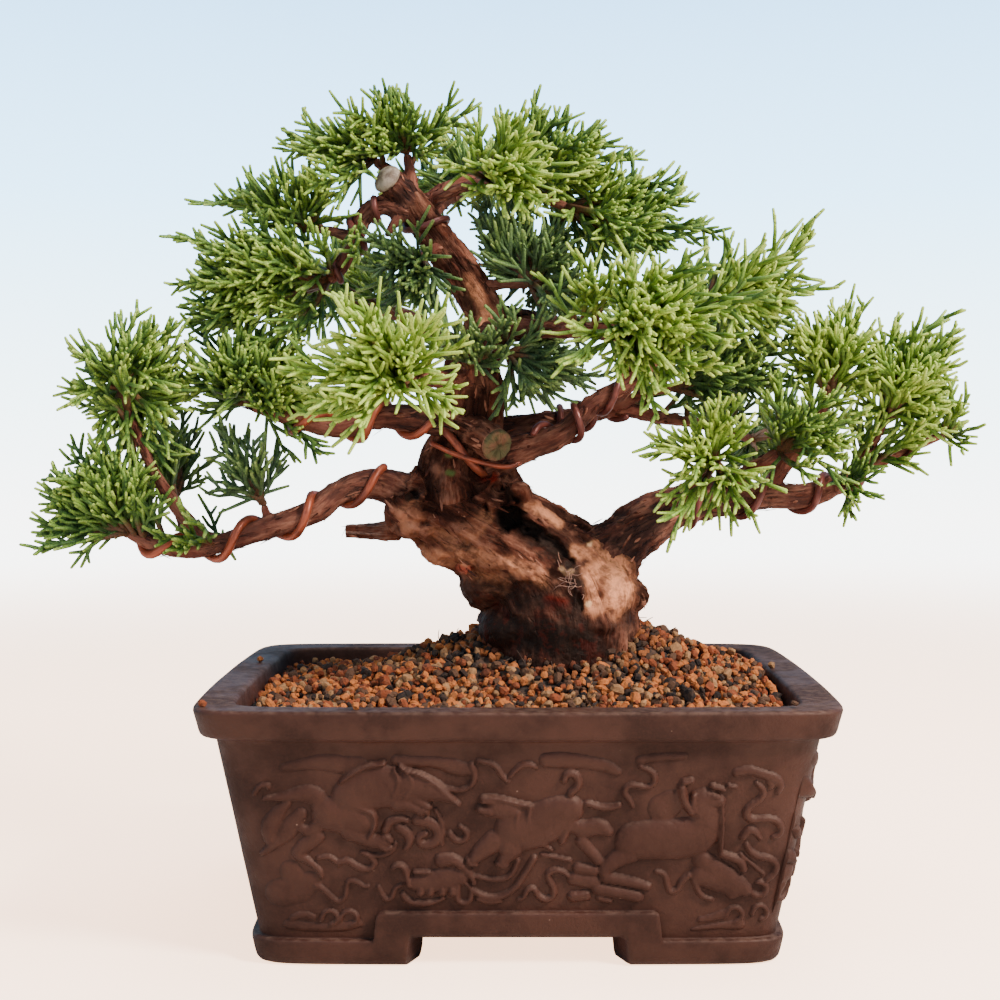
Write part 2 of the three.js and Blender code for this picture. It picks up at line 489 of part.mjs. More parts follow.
function makeWood() {
  const limbs = Object.values(LIMBS).map(makeLimb);
  const lump = ([centre, half]) => solid(new THREE.IcosahedronGeometry(1, 1)
    .scale(...half).translate(...centre));
  return wasm.Manifold.union([...limbs, lump(BURL), lump(SHOULDER)]).subtract(lump(HOLLOW));
}

// The dome of paste over the sawn end of the stub at the top.
function makeCap() {
  const [inner, end] = LIMBS.cutStub.slice(-2).map(vec);
  const way = end.clone().sub(inner).normalize();
  const foot = end.clone().addScaledVector(way, GAP);
  const profile = CAP_PROFILE.map(([r, z]) => new THREE.Vector2(r, z));
  const turn = new THREE.Quaternion().setFromUnitVectors(new THREE.Vector3(0, 1, 0), way);
  return solid(new THREE.LatheGeometry(profile, 12).applyQuaternion(turn).translate(...foot));
}

// ---- Training wires -----------------------------------------------------------------------

// The middle line of a wire coiled round its limb, clear of the bark.
function coilPath({ limb, span, turns, radius, start }) {
  const { curve, radiusAt } = limbOf(LIMBS[limb]);
  const count = Math.ceil(turns * COIL_STATIONS);
  const points = [];
  for (let i = 0; i <= count; i += 1) {
    const t = span[0] + (span[1] - span[0]) * i / count;
    const angle = 2 * Math.PI * (start + turns * i / count);
    const { middle, side, up } = frameAt(curve, t);
    const reach = radiusAt(t) * (1 + 2.2 * FLUTE_DEPTH) + radius + GAP;
    middle.addScaledVector(side, reach * Math.cos(angle));
    points.push(middle.addScaledVector(up, reach * Math.sin(angle)));
  }
  return new THREE.CatmullRomCurve3(points);
}

function makeWire(path, radius) {
  const section = new THREE.Shape();
  for (let i = 0; i < WIRE_SIDES; i += 1) {
    const angle = 2 * Math.PI * i / WIRE_SIDES;
    const [x, y] = [radius * Math.cos(angle), radius * Math.sin(angle)];
    if (i) section.lineTo(x, y);
    else section.moveTo(x, y);
  }
  section.closePath();
  const steps = Math.ceil(path.getLength() / WIRE_STEP);
  return solid(new THREE.ExtrudeGeometry(section, { steps, bevelEnabled: false, extrudePath: path }));
}

// ---- Foliage ------------------------------------------------------------------------------

// Everything already in place near the foliage, as straight rods with a radius.
const rods = [];

// The shortest distance between two straight pieces.
function distance(a0, a1, b0, b1) {
  const d1 = a1.clone().sub(a0);
  const d2 = b1.clone().sub(b0);
  const r = a0.clone().sub(b0);
  const [a, e, f, c, b] = [d1.dot(d1), d2.dot(d2), d2.dot(r), d1.dot(r), d1.dot(d2)];
  const clamp = THREE.MathUtils.clamp;
  const cross = a * e - b * b;
  let s = cross > 1e-9 ? clamp((b * f - c * e) / cross, 0, 1) : 0;
  let t = (b * s + f) / e;
  if (t < 0 || t > 1) {
    t = clamp(t, 0, 1);
    s = clamp((b * t - c) / a, 0, 1);
  }
  return a0.clone().addScaledVector(d1, s).distanceTo(b0.clone().addScaledVector(d2, t));
}

const isClear = (from, to, radius, owner) => rods.every((rod) => rod.owner === owner
  || distance(from, to, rod.from, rod.to) > radius + rod.radius + GAP);

function addRods(points, radiusAt, owner) {
  for (let i = 1; i < points.length; i += 1) {
    const radius = radiusAt((i - 0.5) / (points.length - 1));
    rods.push({ from: points[i - 1], to: points[i], radius, owner });
  }
}

// A three-sided shoot from one point to another, with the radius at its foot and its end.
function makeShoot(from, to, footRadius, endRadius) {
  const way = to.clone().sub(from).normalize();
  const side = new THREE.Vector3(0.3, 0.5, 0.8).cross(way).normalize();
  const corner = (middle, radius, k) => {
    const spoke = side.clone().applyAxisAngle(way, 2 * Math.PI * k / 3);
    return middle.clone().addScaledVector(spoke, radius);
  };
  const corners = [0, 1, 2].map((k) => corner(from, footRadius, k))
    .concat([0, 1, 2].map((k) => corner(to, endRadius, k)));
  const geometry = new THREE.BufferGeometry().setFromPoints(corners);
  return solid(geometry.setIndex([0, 2, 1, 3, 4, 5, 0, 1, 4, 0, 4, 3, 1, 2, 5, 1, 5, 4, 2, 0, 3, 2, 3, 5]));
}

// The first direction, turned round the axis from the wanted one, whose shoot is clear.
function findShoot(foot, axis, angle, lean, length, owner) {
  const side = new THREE.Vector3(0.3, 1, 0.2).cross(axis).normalize();
  for (let attempt = 0; attempt < SHOOT_TRIES; attempt += 1) {
    const turned = side.clone().applyAxisAngle(axis, angle + attempt * TRY_TURN);
    const way = axis.clone().multiplyScalar(Math.cos(lean)).addScaledVector(turned, Math.sin(lean));
    const from = foot.clone().addScaledVector(way, NEEDLE_RADIUS);
    const to = foot.clone().addScaledVector(way, length);
    if (isClear(from, to, NEEDLE_RADIUS, owner)) return to;
  }
  return null;
}

// A finger of a tuft: a slim curved core with shoots round it at the golden angle.
function makeFinger(base, reach, owner, random) {
  const span = base.distanceTo(reach);
  const tip = base.clone().lerp(reach, 1 - Math.min(NEEDLE_LENGTH[1] * 0.9 / span, 0.4));
  const middle = base.clone().lerp(tip, 0.5);
  middle.z += base.distanceTo(tip) * FINGER_BOW;
  let curve = new THREE.QuadraticBezierCurve3(base, middle, tip);
  const radiusAt = (t) => FINGER_RADIUS[0] * (1 - t) + FINGER_RADIUS[1] * t;
  const clearOf = (c) => {
    const p = c.getPoints(3);
    return p.slice(2).every((q, i) => isClear(p[i + 1], q, FINGER_RADIUS[0], owner));
  };
  for (let attempt = 0; attempt < FINGER_TRIES && !clearOf(curve); attempt += 1) {
    const shift = vec([random() - 0.5, random() - 0.5, random() - 0.5]);
    shift.multiplyScalar(3 + attempt);
    const [bend, end] = [middle.clone().add(shift), tip.clone().addScaledVector(shift, 0.6)];
    curve = new THREE.QuadraticBezierCurve3(base, bend, end);
  }
  if (!clearOf(curve)) return [];
  const points = curve.getPoints(3);
  const parts = [bendCylinder(curve, (t) => t ? radiusAt(t) : FINGER_FOOT_RADIUS, 3, 2)];
  addRods(points, radiusAt, owner);
  const length = curve.getLength();
  const count = Math.round(length / NEEDLE_SPACING);
  for (let i = 0; i < count; i += 1) {
    const t = BARE_SHARE + (1 - BARE_SHARE) * i / (count - 1);
    const foot = curve.getPoint(t);
    const even = NEEDLE_LENGTH[0] * (1 - t) + NEEDLE_LENGTH[1] * t;
    const size = even * (0.85 + 0.3 * random());
    const lean = i === count - 1 ? END_LEAN : SIDE_LEAN;
    const to = findShoot(foot, curve.getTangent(t), i * GOLDEN_ANGLE, lean, size, owner);
    if (!to) continue;
    parts.push(makeShoot(foot, to, NEEDLE_FOOT_RADIUS, NEEDLE_RADIUS));
    rods.push({ from: foot, to, radius: NEEDLE_RADIUS, owner });
  }
  return parts;
}

function makeTuft({ name, limb, tips }, order) {
  const random = randomStream(SEED + order);
  const [inner, end] = LIMBS[limb].slice(-2).map(vec);
  const base = end.clone().addScaledVector(end.clone().sub(inner).normalize(), TWIG_GAP);
  const parts = tips.flatMap((tip) => makeFinger(base, vec(tip), name, random));
  return wasm.Manifold.union(parts).simplify(FINE);
}

// ---- Assembly -----------------------------------------------------------------------------

place("pot", makePot(), "ceramic");
place("soil", makeSoil(), "soil");
place("drain_screen_left", makeScreen(-DRAIN_X), "screen");
place("drain_screen_right", makeScreen(DRAIN_X), "screen");

for (const stations of Object.values(LIMBS)) {
  const { curve, radiusAt, last } = limbOf(stations);
  addRods(curve.getPoints(last * 2), (t) => radiusAt(t) * (1 + FLUTE_DEPTH), "wood");
}
let wood = makeWood();
for (const wire of WIRES) {
  const path = coilPath(wire);
  wood = wood.subtract(makeWire(path, wire.radius + GAP));
  addRods(path.getSpacedPoints(Math.ceil(wire.turns * 12)), () => wire.radius, wire.name);
  place(wire.name, makeWire(path, wire.radius), "wire");
}
place("wood", wood, "bark");

place("cut_paste", makeCap(), "paste");

TUFTS.forEach((tuft, order) => place(`foliage_${tuft.name}`, makeTuft(tuft, order), "foliage"));

export default bonsai;
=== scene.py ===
"""A juniper bonsai in a rectangular ceramic pot with carved sides, dressed for its looks.

Shapes are worked out in millimetres and put into Blender in metres.
"""
import logging
import math
from dataclasses import dataclass, field
from enum import Enum
from typing import Any

import bpy
import numpy as np
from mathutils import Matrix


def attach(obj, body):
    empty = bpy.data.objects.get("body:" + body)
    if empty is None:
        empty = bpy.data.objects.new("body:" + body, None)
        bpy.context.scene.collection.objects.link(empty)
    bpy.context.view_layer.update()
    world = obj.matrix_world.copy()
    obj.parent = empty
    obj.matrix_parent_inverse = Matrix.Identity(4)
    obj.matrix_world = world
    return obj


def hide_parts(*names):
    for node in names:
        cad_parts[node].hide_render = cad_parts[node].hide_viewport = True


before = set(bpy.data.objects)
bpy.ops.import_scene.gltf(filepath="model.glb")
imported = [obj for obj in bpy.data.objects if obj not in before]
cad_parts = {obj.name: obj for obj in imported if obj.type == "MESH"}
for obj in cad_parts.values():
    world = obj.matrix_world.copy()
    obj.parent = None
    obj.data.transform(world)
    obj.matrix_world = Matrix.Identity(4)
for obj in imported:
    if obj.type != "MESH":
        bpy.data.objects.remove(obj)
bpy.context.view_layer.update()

Array = np.ndarray
Piece = bpy.types.Object
Material = bpy.types.Material
Tree = bpy.types.NodeTree
Pair = tuple[float, float]
Triple = tuple[float, float, float]
Colour = tuple[float, float, float, float]
Socket = Any
LOG = logging.getLogger("bonsai")
HASH = (73856093, 19349663, 83492791, 265443576, 1274126177)  # factors that scatter bits
MM = 0.001
BODY = "root"

# ---- Measures shared by several pieces, in millimetres ----

PLAN_POWER = 16
PLAN_SAMPLES = 24001
PLAN_BOW = 0.024
POT_HALF = (83.0, 64.0)
RIM_UNDER = 59.1
RIM_OVERHANG = 5.0
RIM_LIP = 10.0
WALL = 6.0
FLOOR_TOP = 13.0
MOUND = (61.5, 22.5, 14.0, 9.0, 46.0, 33.0)  # edge height, rise, middle and spread in x and y
LUMP_HEIGHT = 0.9
LUMP_RATES = (0.26, 0.24, 0.15, 0.19)
TAPER = 9.0  # how far a wall draws in from the rim down to the foot
TAPER_END = 14.4

# Stations "x,y,z,radius" along each limb, from where it grows to its end.
LIMB_TABLE = """
lowerTrunk: 12,0,58,20.5 13,0,70,21 13.5,0,82,21 10,0,92,20 2,0,100,17.5 -8,0,106,15.5 -17,0,111,14
  -25,0,115,11.5 -31,0,118,7.5
upperTrunk: -15,0,106,11 -18,0,116,13.5 -18,0,125,10.5 -14,0,134,9 -12,0,145,9 -13,1,153,8
  -10,2,160,6.8 -9,3,168,6.5 -14,3,177.5,6 -20,2,186,5.6 -26,0,194,5.3 -31,-2,201.5,4.5
ridge: 22,2,90,13.4 16,2,101,9.4 7,3,109,7.1 -3,3,116.4,6.4 -9,2,127,7
rightLower: 22,2,97.5,12 33.5,4,106.4,7.9 42.5,6,112,6.6 53,8,115.7,5.6 63.5,9,116,5
  73.5,10,116.5,4.2 84,11,116.5,3.6 92.5,11,119.5,3 99.5,12,123.5,2.4 108,13,127.5,1.9
  116.5,13,131,1.6 124,14,134,1.3
leftLower: -30,-1,117,6.5 -39.5,-4,120.5,4.2 -49,-8,118.5,3.5 -55.5,-10,113.5,3.4 -64.5,-12,110,3.3
  -73.5,-14,107,3.1 -83,-15,104,2.9 -92.5,-16,103,2.5 -100,-17,104.5,2 -105.5,-18,107,1.5
middleLeft: -11,-2,135,5.5 -20,-5,137.5,4.4 -31.5,-8,139,3.8 -39,-10,139,3.4 -49,-10,136,3
  -59,-9,138,2.6 -67,-7,140,2.2 -74,-5,142.5,1.7
cutLimb: -16,-4,136.5,5 -10,-10,134,4.8 -5,-16,131,4.6
frontLeft: -14,-2,150,4 -19.5,-16,149.5,3 -24.5,-32,149,2.4 -29.5,-48,147.5,1.9
middleRight: -8,-3,127,6 2,-6,130.5,4.2 11.5,-8,134,3.6 17.5,-8,139,3.2 21.5,-8,143,2.9
  32.5,-7,149.5,2.6 44.5,-6,162.5,2.2 53,-6,171.5,1.8
backRightLow: -6,2,134,5 6,3,137,3.8 12,5,138,3.4 20.5,8,140,3 27.5,10,142,2.6 41.5,14,139.5,2.2
  57,22,137,1.8 71.5,34,133,1.5
rightFront: -9,-1,163,4.5 3,-10,163.5,3 15,-20,162.5,2.5 27.5,-32,162,2
upperLeft: -28,-2,196.5,3.6 -38,-3,199,3 -42.5,-3,196.5,2.9 -45.5,-3,189.5,2.6 -50,-2,181,2.2
  -53,-2,178,1.8
cutStub: -29,-1,199,4.6 -32.5,-4,202.5,4.2 -35.5,-7,205,4
redStem: -84,-15,105,2 -92,-15,112.5,1.9 -97.5,-15,120.5,1.8 -102.5,-15,130,1.6 -106.5,-15,140,1.5
  -108,-15,146.5,1.3
leftInner: -89,-15,104,1.6 -93.5,-8,109.5,1.4 -97,0,116,1.2
leftUpright: -68,-12,108.5,1.5 -70,-12,114.5,1.2
upperLeftTwig: -46,-3,189.5,1.8 -53,-1.5,192,1.5 -59,0,192.5,1.2
apexLeft: -31,0,202,3 -35,3,208.5,2 -40.5,4,212.5,1.4
apexMiddle: -30,1,201,2.6 -30.5,4,208.5,1.8 -31.5,4,214.5,1.3
apexRight: -28,1,198,3.2 -20,4,204.5,2.4 -8,5,209,1.9 0,5,210,1.5
apexFarRight: -14,4.5,206.5,1.9 2,2,203.5,1.7 14,0,199,1.4
apexFront: -24,2,201.5,2 -14,-8,203.5,1.7 -7.5,-20,202.5,1.3
apexBack: -26,1,196,2.6 -20.5,14,203,2 -13.5,26,208,1.5
innerLeft: -22,0,188,2 -24.5,-7,185,1.4 -26.5,-10,183.5,1.2
innerRight: -12,2,176,2.4 -4,0,177,1.5 3,-3,176.5,1.2
innerFront: -13,-3,150,2 -13,-9,150.5,1.4 -12.5,-13,152.5,1.2
hanging: -10,0,161,1.8 -6,-8,158.5,1.3 -3,-13,156.5,1.1
backLeft: -12,3,155,4.5 -22.5,16,163,3 -35,30,170.5,2.4 -46,42,174.5,1.9
backRight: -9,4,168.5,4.2 8.5,18,167.5,2.8 27,32,165,2.3 45.5,44,162.5,1.8
rightTwig: 27.5,9,142,1.8 36.5,7,146,1.4 44.5,5,147.5,1.2
lowTwigA: 57,8,116.5,3 67,5,124,2.4 74,1,129,1.8
lowTwigB: 71.5,10,117.5,2.8 79.5,9,128,2.3 86.5,7,139,1.9 90,5,147,1.5
lowTwigC: 96.5,12,122,2 102.5,11,130,1.7 107,9,139,1.3
lowTwigD: 89,11,118,1.7 94.5,8,119.5,1.3
lowTwigE: 44.5,3,113,3 49.5,-5,120,2.2 54.5,-12,126,1.6
deadStub: -33,-2,107.5,3.4 -41.5,-3,107,2.4 -48.5,-3,107,2.1
shortStub: -31,-2,197.5,1.8 -34.5,-5,193.5,1.4 -36.5,-6,190,1
"""

# Each tuft and the limb that carries it, then the points "x,y,z" that it reaches for.
TUFT_TABLE = """
left_tip leftLower: -133.5,-18,110 -133,-14,119 -122,-14,132 -114,-22,132 -131.5,-8,124
  -128,-26,104 -112,-14,125 -105,-14,121 -118,-18,120
left_stem redStem: -95,-12,165 -106,-16,168 -101.5,-14,163 -112,-18,152 -113,-16,138 -96,-8,151
  -110,-15,124 -104,-19,116 -106,-8,132
left_inner leftInner: -96.5,8,139 -107,12,132
left_upright leftUpright: -82.5,-8,136 -81,-16,121
middle_left middleLeft: -78,-6,164 -60,-8,163 -54,-12,130 -101.5,-10,152 -88.5,2,162 -68,-14,157
  -60,-14,150 -86,-12,143 -56,-14,146 -66,-18,143
front_left frontLeft: -14,-56,141 -56,-68,150 -41.5,-76,166 -22,-75,161 -39.5,-70,137 -50,-40,143
  -30,-44,160
inner_front innerFront: -4,-26,162 -19,-26,160.5
upper_left_tip upperLeftTwig: -89,4,202.5 -70.5,-8,205 -52,-4,203
upper_left upperLeft: -96,-10,190 -93,2,165 -74,-14,155 -61.5,-18,159 -95,-6,178 -76,-12,194
inner_left innerLeft: -35,-26,186 -23.5,-22,174 -27,-16,167 -20,-14,170
apex_left apexLeft: -65,4,220 -55,-16,201.5 -56,24,226 -44,-4,215
apex_middle apexMiddle: -35,0,232 -14.5,10,229 -46,-8,226 -28,2,216 -38,-4,216
apex_right apexRight: 8,2,226 28,10,220 20,-14,214 -4,10,199 14,12,205 34,6,214 26,2,209
apex_front apexFront: 7,-44,193.5 1.5,-40,214 -18,-44,204
apex_far_right apexFarRight: 44,-8,187 51.5,4,202 55,-6,191 34,-24,183 26,10,186 12,12,190 44,4,208
apex_back apexBack: -19.5,46,228 14,58,220.5 -42.5,56,212
inner_right innerRight: -13,14,203 -9,16,199 -5,10,205 17.5,-14,169 13.5,-12,184.5 2,8,194 22,6,178
  20,4,160 -6,12,191 0,14,188 -3,8,183 6,4,171 12,-4,158
hanging hanging: 0,-18,140.5 12,-10,152 18,-6,158 10,-12,160 22,-8,150
front_right rightFront: 13.5,-56,153 28,-54,178 46,-50,179 64,-48,170.5 54,-54,149 34,-56,142
right_top middleRight: 83,-8,190 81,-12,175 60,0,189 74,0,168 62,-4,160
right_middle rightTwig: 72,-2,164 79,2,161 62,-8,140 59.5,12,156.5 74,4,150 66,0,159
low_front lowTwigE: 35,-24,131 40.5,-26,107.5 63,-24,112.5 58,-26,144.5
low_middle lowTwigA: 89.5,-8,147.5 80.5,-14,122 72,-6,152 92,-4,134
low_upper lowTwigB: 98,0,171 77,-6,165 96,24,159 76,4,152 104,4,150 88,0,170
low_right lowTwigC: 118,4,168 125,2,165 108,6,167 126,4,160 112,10,166 118,6,140 101,4,142
  120,0,156
right_tip rightLower: 137,13,141 129,8,133 130,18,150
low_under lowTwigD: 97,2,121
back_left backLeft: -86,60,182 -61,76,201 -33,78,174.5
back_right backRight: 87,62,171.5 59,75,190.5 29,78,174.5
back_low backRightLow: 109,54,139.5 77.5,74,127
"""


# ---- Number work ----

def parse_points(text: str) -> Array:
    """Reads "x,y,z x,y,z" into an array with a row for each point."""
    return np.array([[float(v) for v in point.split(",")] for point in text.split()])


def parse_table(text: str) -> list[tuple[str, str]]:
    """Splits lines "head: body" into pairs; an indented line goes on with the one above."""
    lines = text.strip().replace("\n  ", " ").splitlines()
    return [(head, body) for head, _, body in (line.partition(": ") for line in lines)]


LIMB_STATIONS = {name: parse_points(points) for name, points in parse_table(LIMB_TABLE)}


def smoothstep(low: float, high: float, value: Array) -> Array:
    """Rises from 0 at low to 1 at high as 3t² − 2t³."""
    t = np.clip((value - low) / (high - low), 0.0, 1.0)
    return t * t * (3.0 - 2.0 * t)


def unit(vectors: Array) -> Array:
    """Divides each vector by its length."""
    return vectors / np.maximum(np.linalg.norm(vectors, axis=-1, keepdims=True), 1e-9)


def lattice_noise(points: Array, size: float, seed: int) -> Array:
    """Smooth noise from −1 to 1.

    Each corner of a cubic lattice holds a hashed value, and a point takes the mix of its
    cell's eight corners, weighted by the smoothstep of its place in the cell.

    Args:
        points: places, one a row.
        size: side of a lattice cell.
        seed: picks one pattern.

    Returns:
        One value for each point.
    """
    place = points / size
    cell = np.floor(place).astype(np.int64)
    part = place - cell
    part = part * part * (3.0 - 2.0 * part)
    total = np.zeros(len(points))
    for dx, dy, dz in np.ndindex(2, 2, 2):
        key = ((cell[:, 0] + dx) * HASH[0]) ^ ((cell[:, 1] + dy) * HASH[1])
        key = key ^ ((cell[:, 2] + dz) * HASH[2]) ^ (seed * HASH[3])
        key = ((key ^ (key >> 13)) * HASH[4]) & 0x7FFFFFFF
        key = (key ^ (key >> 15)) & 0xFFFFFF
        weight = (part[:, 0] if dx else 1.0 - part[:, 0])
        weight = weight * (part[:, 1] if dy else 1.0 - part[:, 1])
        weight = weight * (part[:, 2] if dz else 1.0 - part[:, 2])
        total += weight * (key / 0x7FFFFF - 1.0)
    return total


def layered_noise(points: Array, size: float, layers: int, seed: int) -> Array:
    """Adds lattice noise at halving sizes and halving strengths."""
    total = np.zeros(len(points))
    for layer in range(layers):
        total += lattice_noise(points, size / 2 ** layer, seed + layer) / 2 ** layer
    return total


def plan_outline(turn: Array, inset: Array) -> tuple[Array, Array]:
    """The pot's plan, a rounded rectangle with bowed sides.

    x = a·|cos|^(1/8) and y = b·|sin|^(1/8) with the signs of cos and sin, and then each is
    drawn in by the bow times the square of the other.
    """
    angle = 2.0 * np.pi * turn
    cos, sin = np.cos(angle), np.sin(angle)
    bend = 2.0 / PLAN_POWER
    x = np.sign(cos) * (POT_HALF[0] - inset) * np.abs(cos) ** bend
    y = np.sign(sin) * (POT_HALF[1] - inset) * np.abs(sin) ** bend
    return (x * (1.0 - PLAN_BOW * (y / POT_HALF[1]) ** 2),
            y * (1.0 - PLAN_BOW * (x / POT_HALF[0]) ** 2))


def even_turns(count: int) -> Array:
    """Turns that share the plan's outline out in even steps of its length."""
    turn = np.linspace(0.0, 1.0, PLAN_SAMPLES)
    x, y = plan_outline(turn, np.zeros_like(turn))
    walked = np.concatenate([[0.0], np.cumsum(np.hypot(np.diff(x), np.diff(y)))])
    return np.interp(np.arange(count) / count * walked[-1], walked, turn)


def wall_inset(z: Array) -> Array:
    """How far the tapering wall stands inside the rim at height z, a straight line."""
    return RIM_OVERHANG + TAPER * (RIM_UNDER - z) / (RIM_UNDER - TAPER_END)


def mound_height(x: Array, y: Array) -> Array:
    """The soil's top: edge + rise · exp(−(x / spread)² − (y / spread)²) + waves of sines."""
    edge, rise, cx, cy, wide, deep = MOUND
    a, b, c, d = LUMP_RATES
    lumps = np.sin(a * x + 1) * np.sin(b * y) + np.sin(c * x - d * y + 2) / 2
    reach = ((x - cx) / wide) ** 2 + ((y - cy) / deep) ** 2
    return edge + rise * np.exp(-reach) + LUMP_HEIGHT * lumps


# ---- Mesh work ----

def build_object(name: str, points: Array, faces: list[Array], smooth: bool = True,
                 layers: dict[str, Array] | None = None) -> Piece:
    """Makes a mesh object from whole arrays.

    Args:
        name: the piece's name.
        points: corners in millimetres, one a row.
        faces: arrays of corner numbers, one face a row, each array with its own face size.
        smooth: whether faces are shaded smooth.
        layers: values for each corner, numbers or vectors, kept as attributes.

    Returns:
        The new object, at the origin.
    """
    mesh = bpy.data.meshes.new(name)
    sizes = np.concatenate([np.full(len(f), f.shape[1]) for f in faces])
    corners = np.concatenate([f.ravel() for f in faces]).astype(np.int32)
    mesh.vertices.add(len(points))
    mesh.vertices.foreach_set("co", (points * MM).astype(np.float32).ravel())
    mesh.loops.add(len(corners))
    mesh.loops.foreach_set("vertex_index", corners)
    mesh.polygons.add(len(sizes))
    mesh.polygons.foreach_set("loop_start", (np.cumsum(sizes) - sizes).astype(np.int32))
    mesh.polygons.foreach_set("use_smooth", np.full(len(sizes), smooth))
    for key, values in (layers or {}).items():
        add_layer(mesh, key, values)
    mesh.update(calc_edges=True)
    mesh.validate()
    piece = bpy.data.objects.new(name, mesh)
    bpy.context.scene.collection.objects.link(piece)
    return piece


def mesh_arrays(piece: Piece) -> tuple[Array, Array]:
    """Reads a mesh's corners, in millimetres, and their normals."""
    count = len(piece.data.vertices)
    points, normals = np.empty(count * 3), np.empty(count * 3)
    piece.data.vertices.foreach_get("co", points)
    piece.data.vertices.foreach_get("normal", normals)
    return points.reshape(-1, 3) / MM, normals.reshape(-1, 3)


def add_layer(mesh: bpy.types.Mesh, key: str, values: Array) -> None:
    """Keeps a number or a vector for each corner as an attribute."""
    vector = values.ndim == 2
    layer = mesh.attributes.new(key, "FLOAT_VECTOR" if vector else "FLOAT", "POINT")
    layer.data.foreach_set("vector" if vector else "value", values.astype(np.float32).ravel())


def settle(piece: Piece, material: Material, node: str) -> None:
    """Gives a piece its finish, ties it to the body and lets it stand for its CAD node."""
    piece.data.materials.append(material)
    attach(piece, BODY)
    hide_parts(node)
    LOG.info("%s: %d faces", piece.name, len(piece.data.polygons))


def baked(piece: Piece) -> Piece:
    """Applies a piece's modifiers to its mesh."""
    graph = bpy.context.evaluated_depsgraph_get()
    mesh = bpy.data.meshes.new_from_object(piece.evaluated_get(graph))
    piece.modifiers.clear()
    old, piece.data = piece.data, mesh
    bpy.data.meshes.remove(old)
    return piece


def ring_faces(rows: int, columns: int, closed: bool) -> Array:
    """Four-sided faces of a grid of rows whose columns join up when closed."""
    row, column = np.meshgrid(np.arange(rows - 1), np.arange(columns - (0 if closed else 1)),
                              indexing="ij")
    low = row * columns + column
    side = row * columns + (column + 1) % columns
    return np.stack([low, side, side + columns, low + columns], axis=-1).reshape(-1, 4)


def capped(rings: Array, columns: int, low: list[float], high: list[float]
           ) -> tuple[Array, list[Array]]:
    """Closes a stack of rings with a middle point for its first ring and one for its last.

    Args:
        rings: the rings' corners, one a row, ring after ring.
        columns: corners of a ring.
        low: the first ring's middle.
        high: the last ring's middle.

    Returns:
        The corners and the faces.
    """
    count = len(rings)
    side = np.arange(columns)
    after = (side + 1) % columns
    last = count - columns
    caps = np.concatenate([
        np.stack([after, side, np.full_like(side, count)], axis=1),
        np.stack([last + side, last + after, np.full_like(side, count + 1)], axis=1)])
    return (np.concatenate([rings, [low, high]]),
            [ring_faces(count // columns, columns, True), caps])


def bent(foot: Array, bend: Array, tip: Array, s: Array) -> Array:
    """Points of the curve of second degree, (1 − s)²·foot + 2s(1 − s)·bend + s²·tip."""
    return (1 - s) ** 2 * foot + 2 * s * (1 - s) * bend + s ** 2 * tip


def sweep(paths: Array, radii: Array, sides: int, reference: Array | None = None,
          dome: float = 0.8) -> tuple[Array, list[Array], Array, Array]:
    """Carries a round section along many paths at once.

    A ring's point is middle + radius · (cos a · side + sin a · up), where side is the
    reference made square to the path and up = path × side. Both ends close in a point.

    Args:
        paths: middles, shape (paths, stations, 3).
        radii: radius at each station, shape (paths, stations).
        sides: corners of the section.
        reference: a direction for each path or station that isn't along it.
        dome: how far the end points stand out, in radii.

    Returns:
        The corners, the faces, each corner's share of its path, and each corner's vector of
        cos a, sin a and length along the path.
    """
    count, stations, _ = paths.shape
    along = unit(np.gradient(paths, axis=1))
    if reference is None:
        mean = np.abs(paths[:, -1] - paths[:, 0])
        reference = np.eye(3)[np.argmin(mean, axis=1)][:, None, :]
    reference = np.broadcast_to(reference, paths.shape)
    side = unit(reference - along * np.sum(reference * along, axis=2, keepdims=True))
    up = np.cross(along, side)
    angle = 2.0 * np.pi * np.arange(sides) / sides
    spoke = (side[:, :, None] * np.cos(angle)[:, None] + up[:, :, None] * np.sin(angle)[:, None])
    rings = paths[:, :, None] + spoke * radii[:, :, None, None]
    foot = paths[:, 0] - along[:, 0] * radii[:, :1] * dome
    tip = paths[:, -1] + along[:, -1] * radii[:, -1:] * dome
    points = np.concatenate([rings.reshape(count, -1, 3), foot[:, None], tip[:, None]], axis=1)
    per_path = stations * sides + 2
    walls = ring_faces(stations, sides, True)
    turn = np.arange(sides)
    after = (turn + 1) % sides
    last = (stations - 1) * sides
    foot_faces = np.stack([after, turn, np.full(sides, per_path - 2)], axis=1)
    tip_faces = np.stack([last + turn, last + after, np.full(sides, per_path - 1)], axis=1)
    start = (np.arange(count) * per_path)[:, None, None]
    faces = [(walls[None] + start).reshape(-1, 4),
             (np.concatenate([foot_faces, tip_faces])[None] + start).reshape(-1, 3)]
    steps = np.linalg.norm(np.diff(paths, axis=1), axis=2)
    length = np.concatenate([np.zeros((count, 1)), np.cumsum(steps, axis=1)], axis=1)
    share = np.repeat(np.linspace(0.0, 1.0, stations), sides)
    share = np.broadcast_to(np.concatenate([share, [0.0, 1.0]]), (count, per_path)).ravel()
    cosine = np.broadcast_to(np.concatenate([np.tile(np.cos(angle), stations), [1, 1]]),
                             (count, per_path))
    sine = np.broadcast_to(np.concatenate([np.tile(np.sin(angle), stations), [0, 0]]),
                           (count, per_path))
    walked = np.concatenate([np.repeat(length, sides, axis=1), length[:, :1], length[:, -1:]],
                            axis=1)
    grain = np.stack([cosine, sine, walked], axis=2).reshape(-1, 3)
    return points.reshape(-1, 3), faces, share, grain


@dataclass(frozen=True)
class Sheaf:
    """Meshes that are to be one piece: corners, faces and values for each corner."""

    points: Array
    faces: list[Array]
    layers: dict[str, Array]

    def made(self, name: str) -> Piece:
        """The mesh as an object of that name."""
        return build_object(name, self.points, self.faces, layers=self.layers)


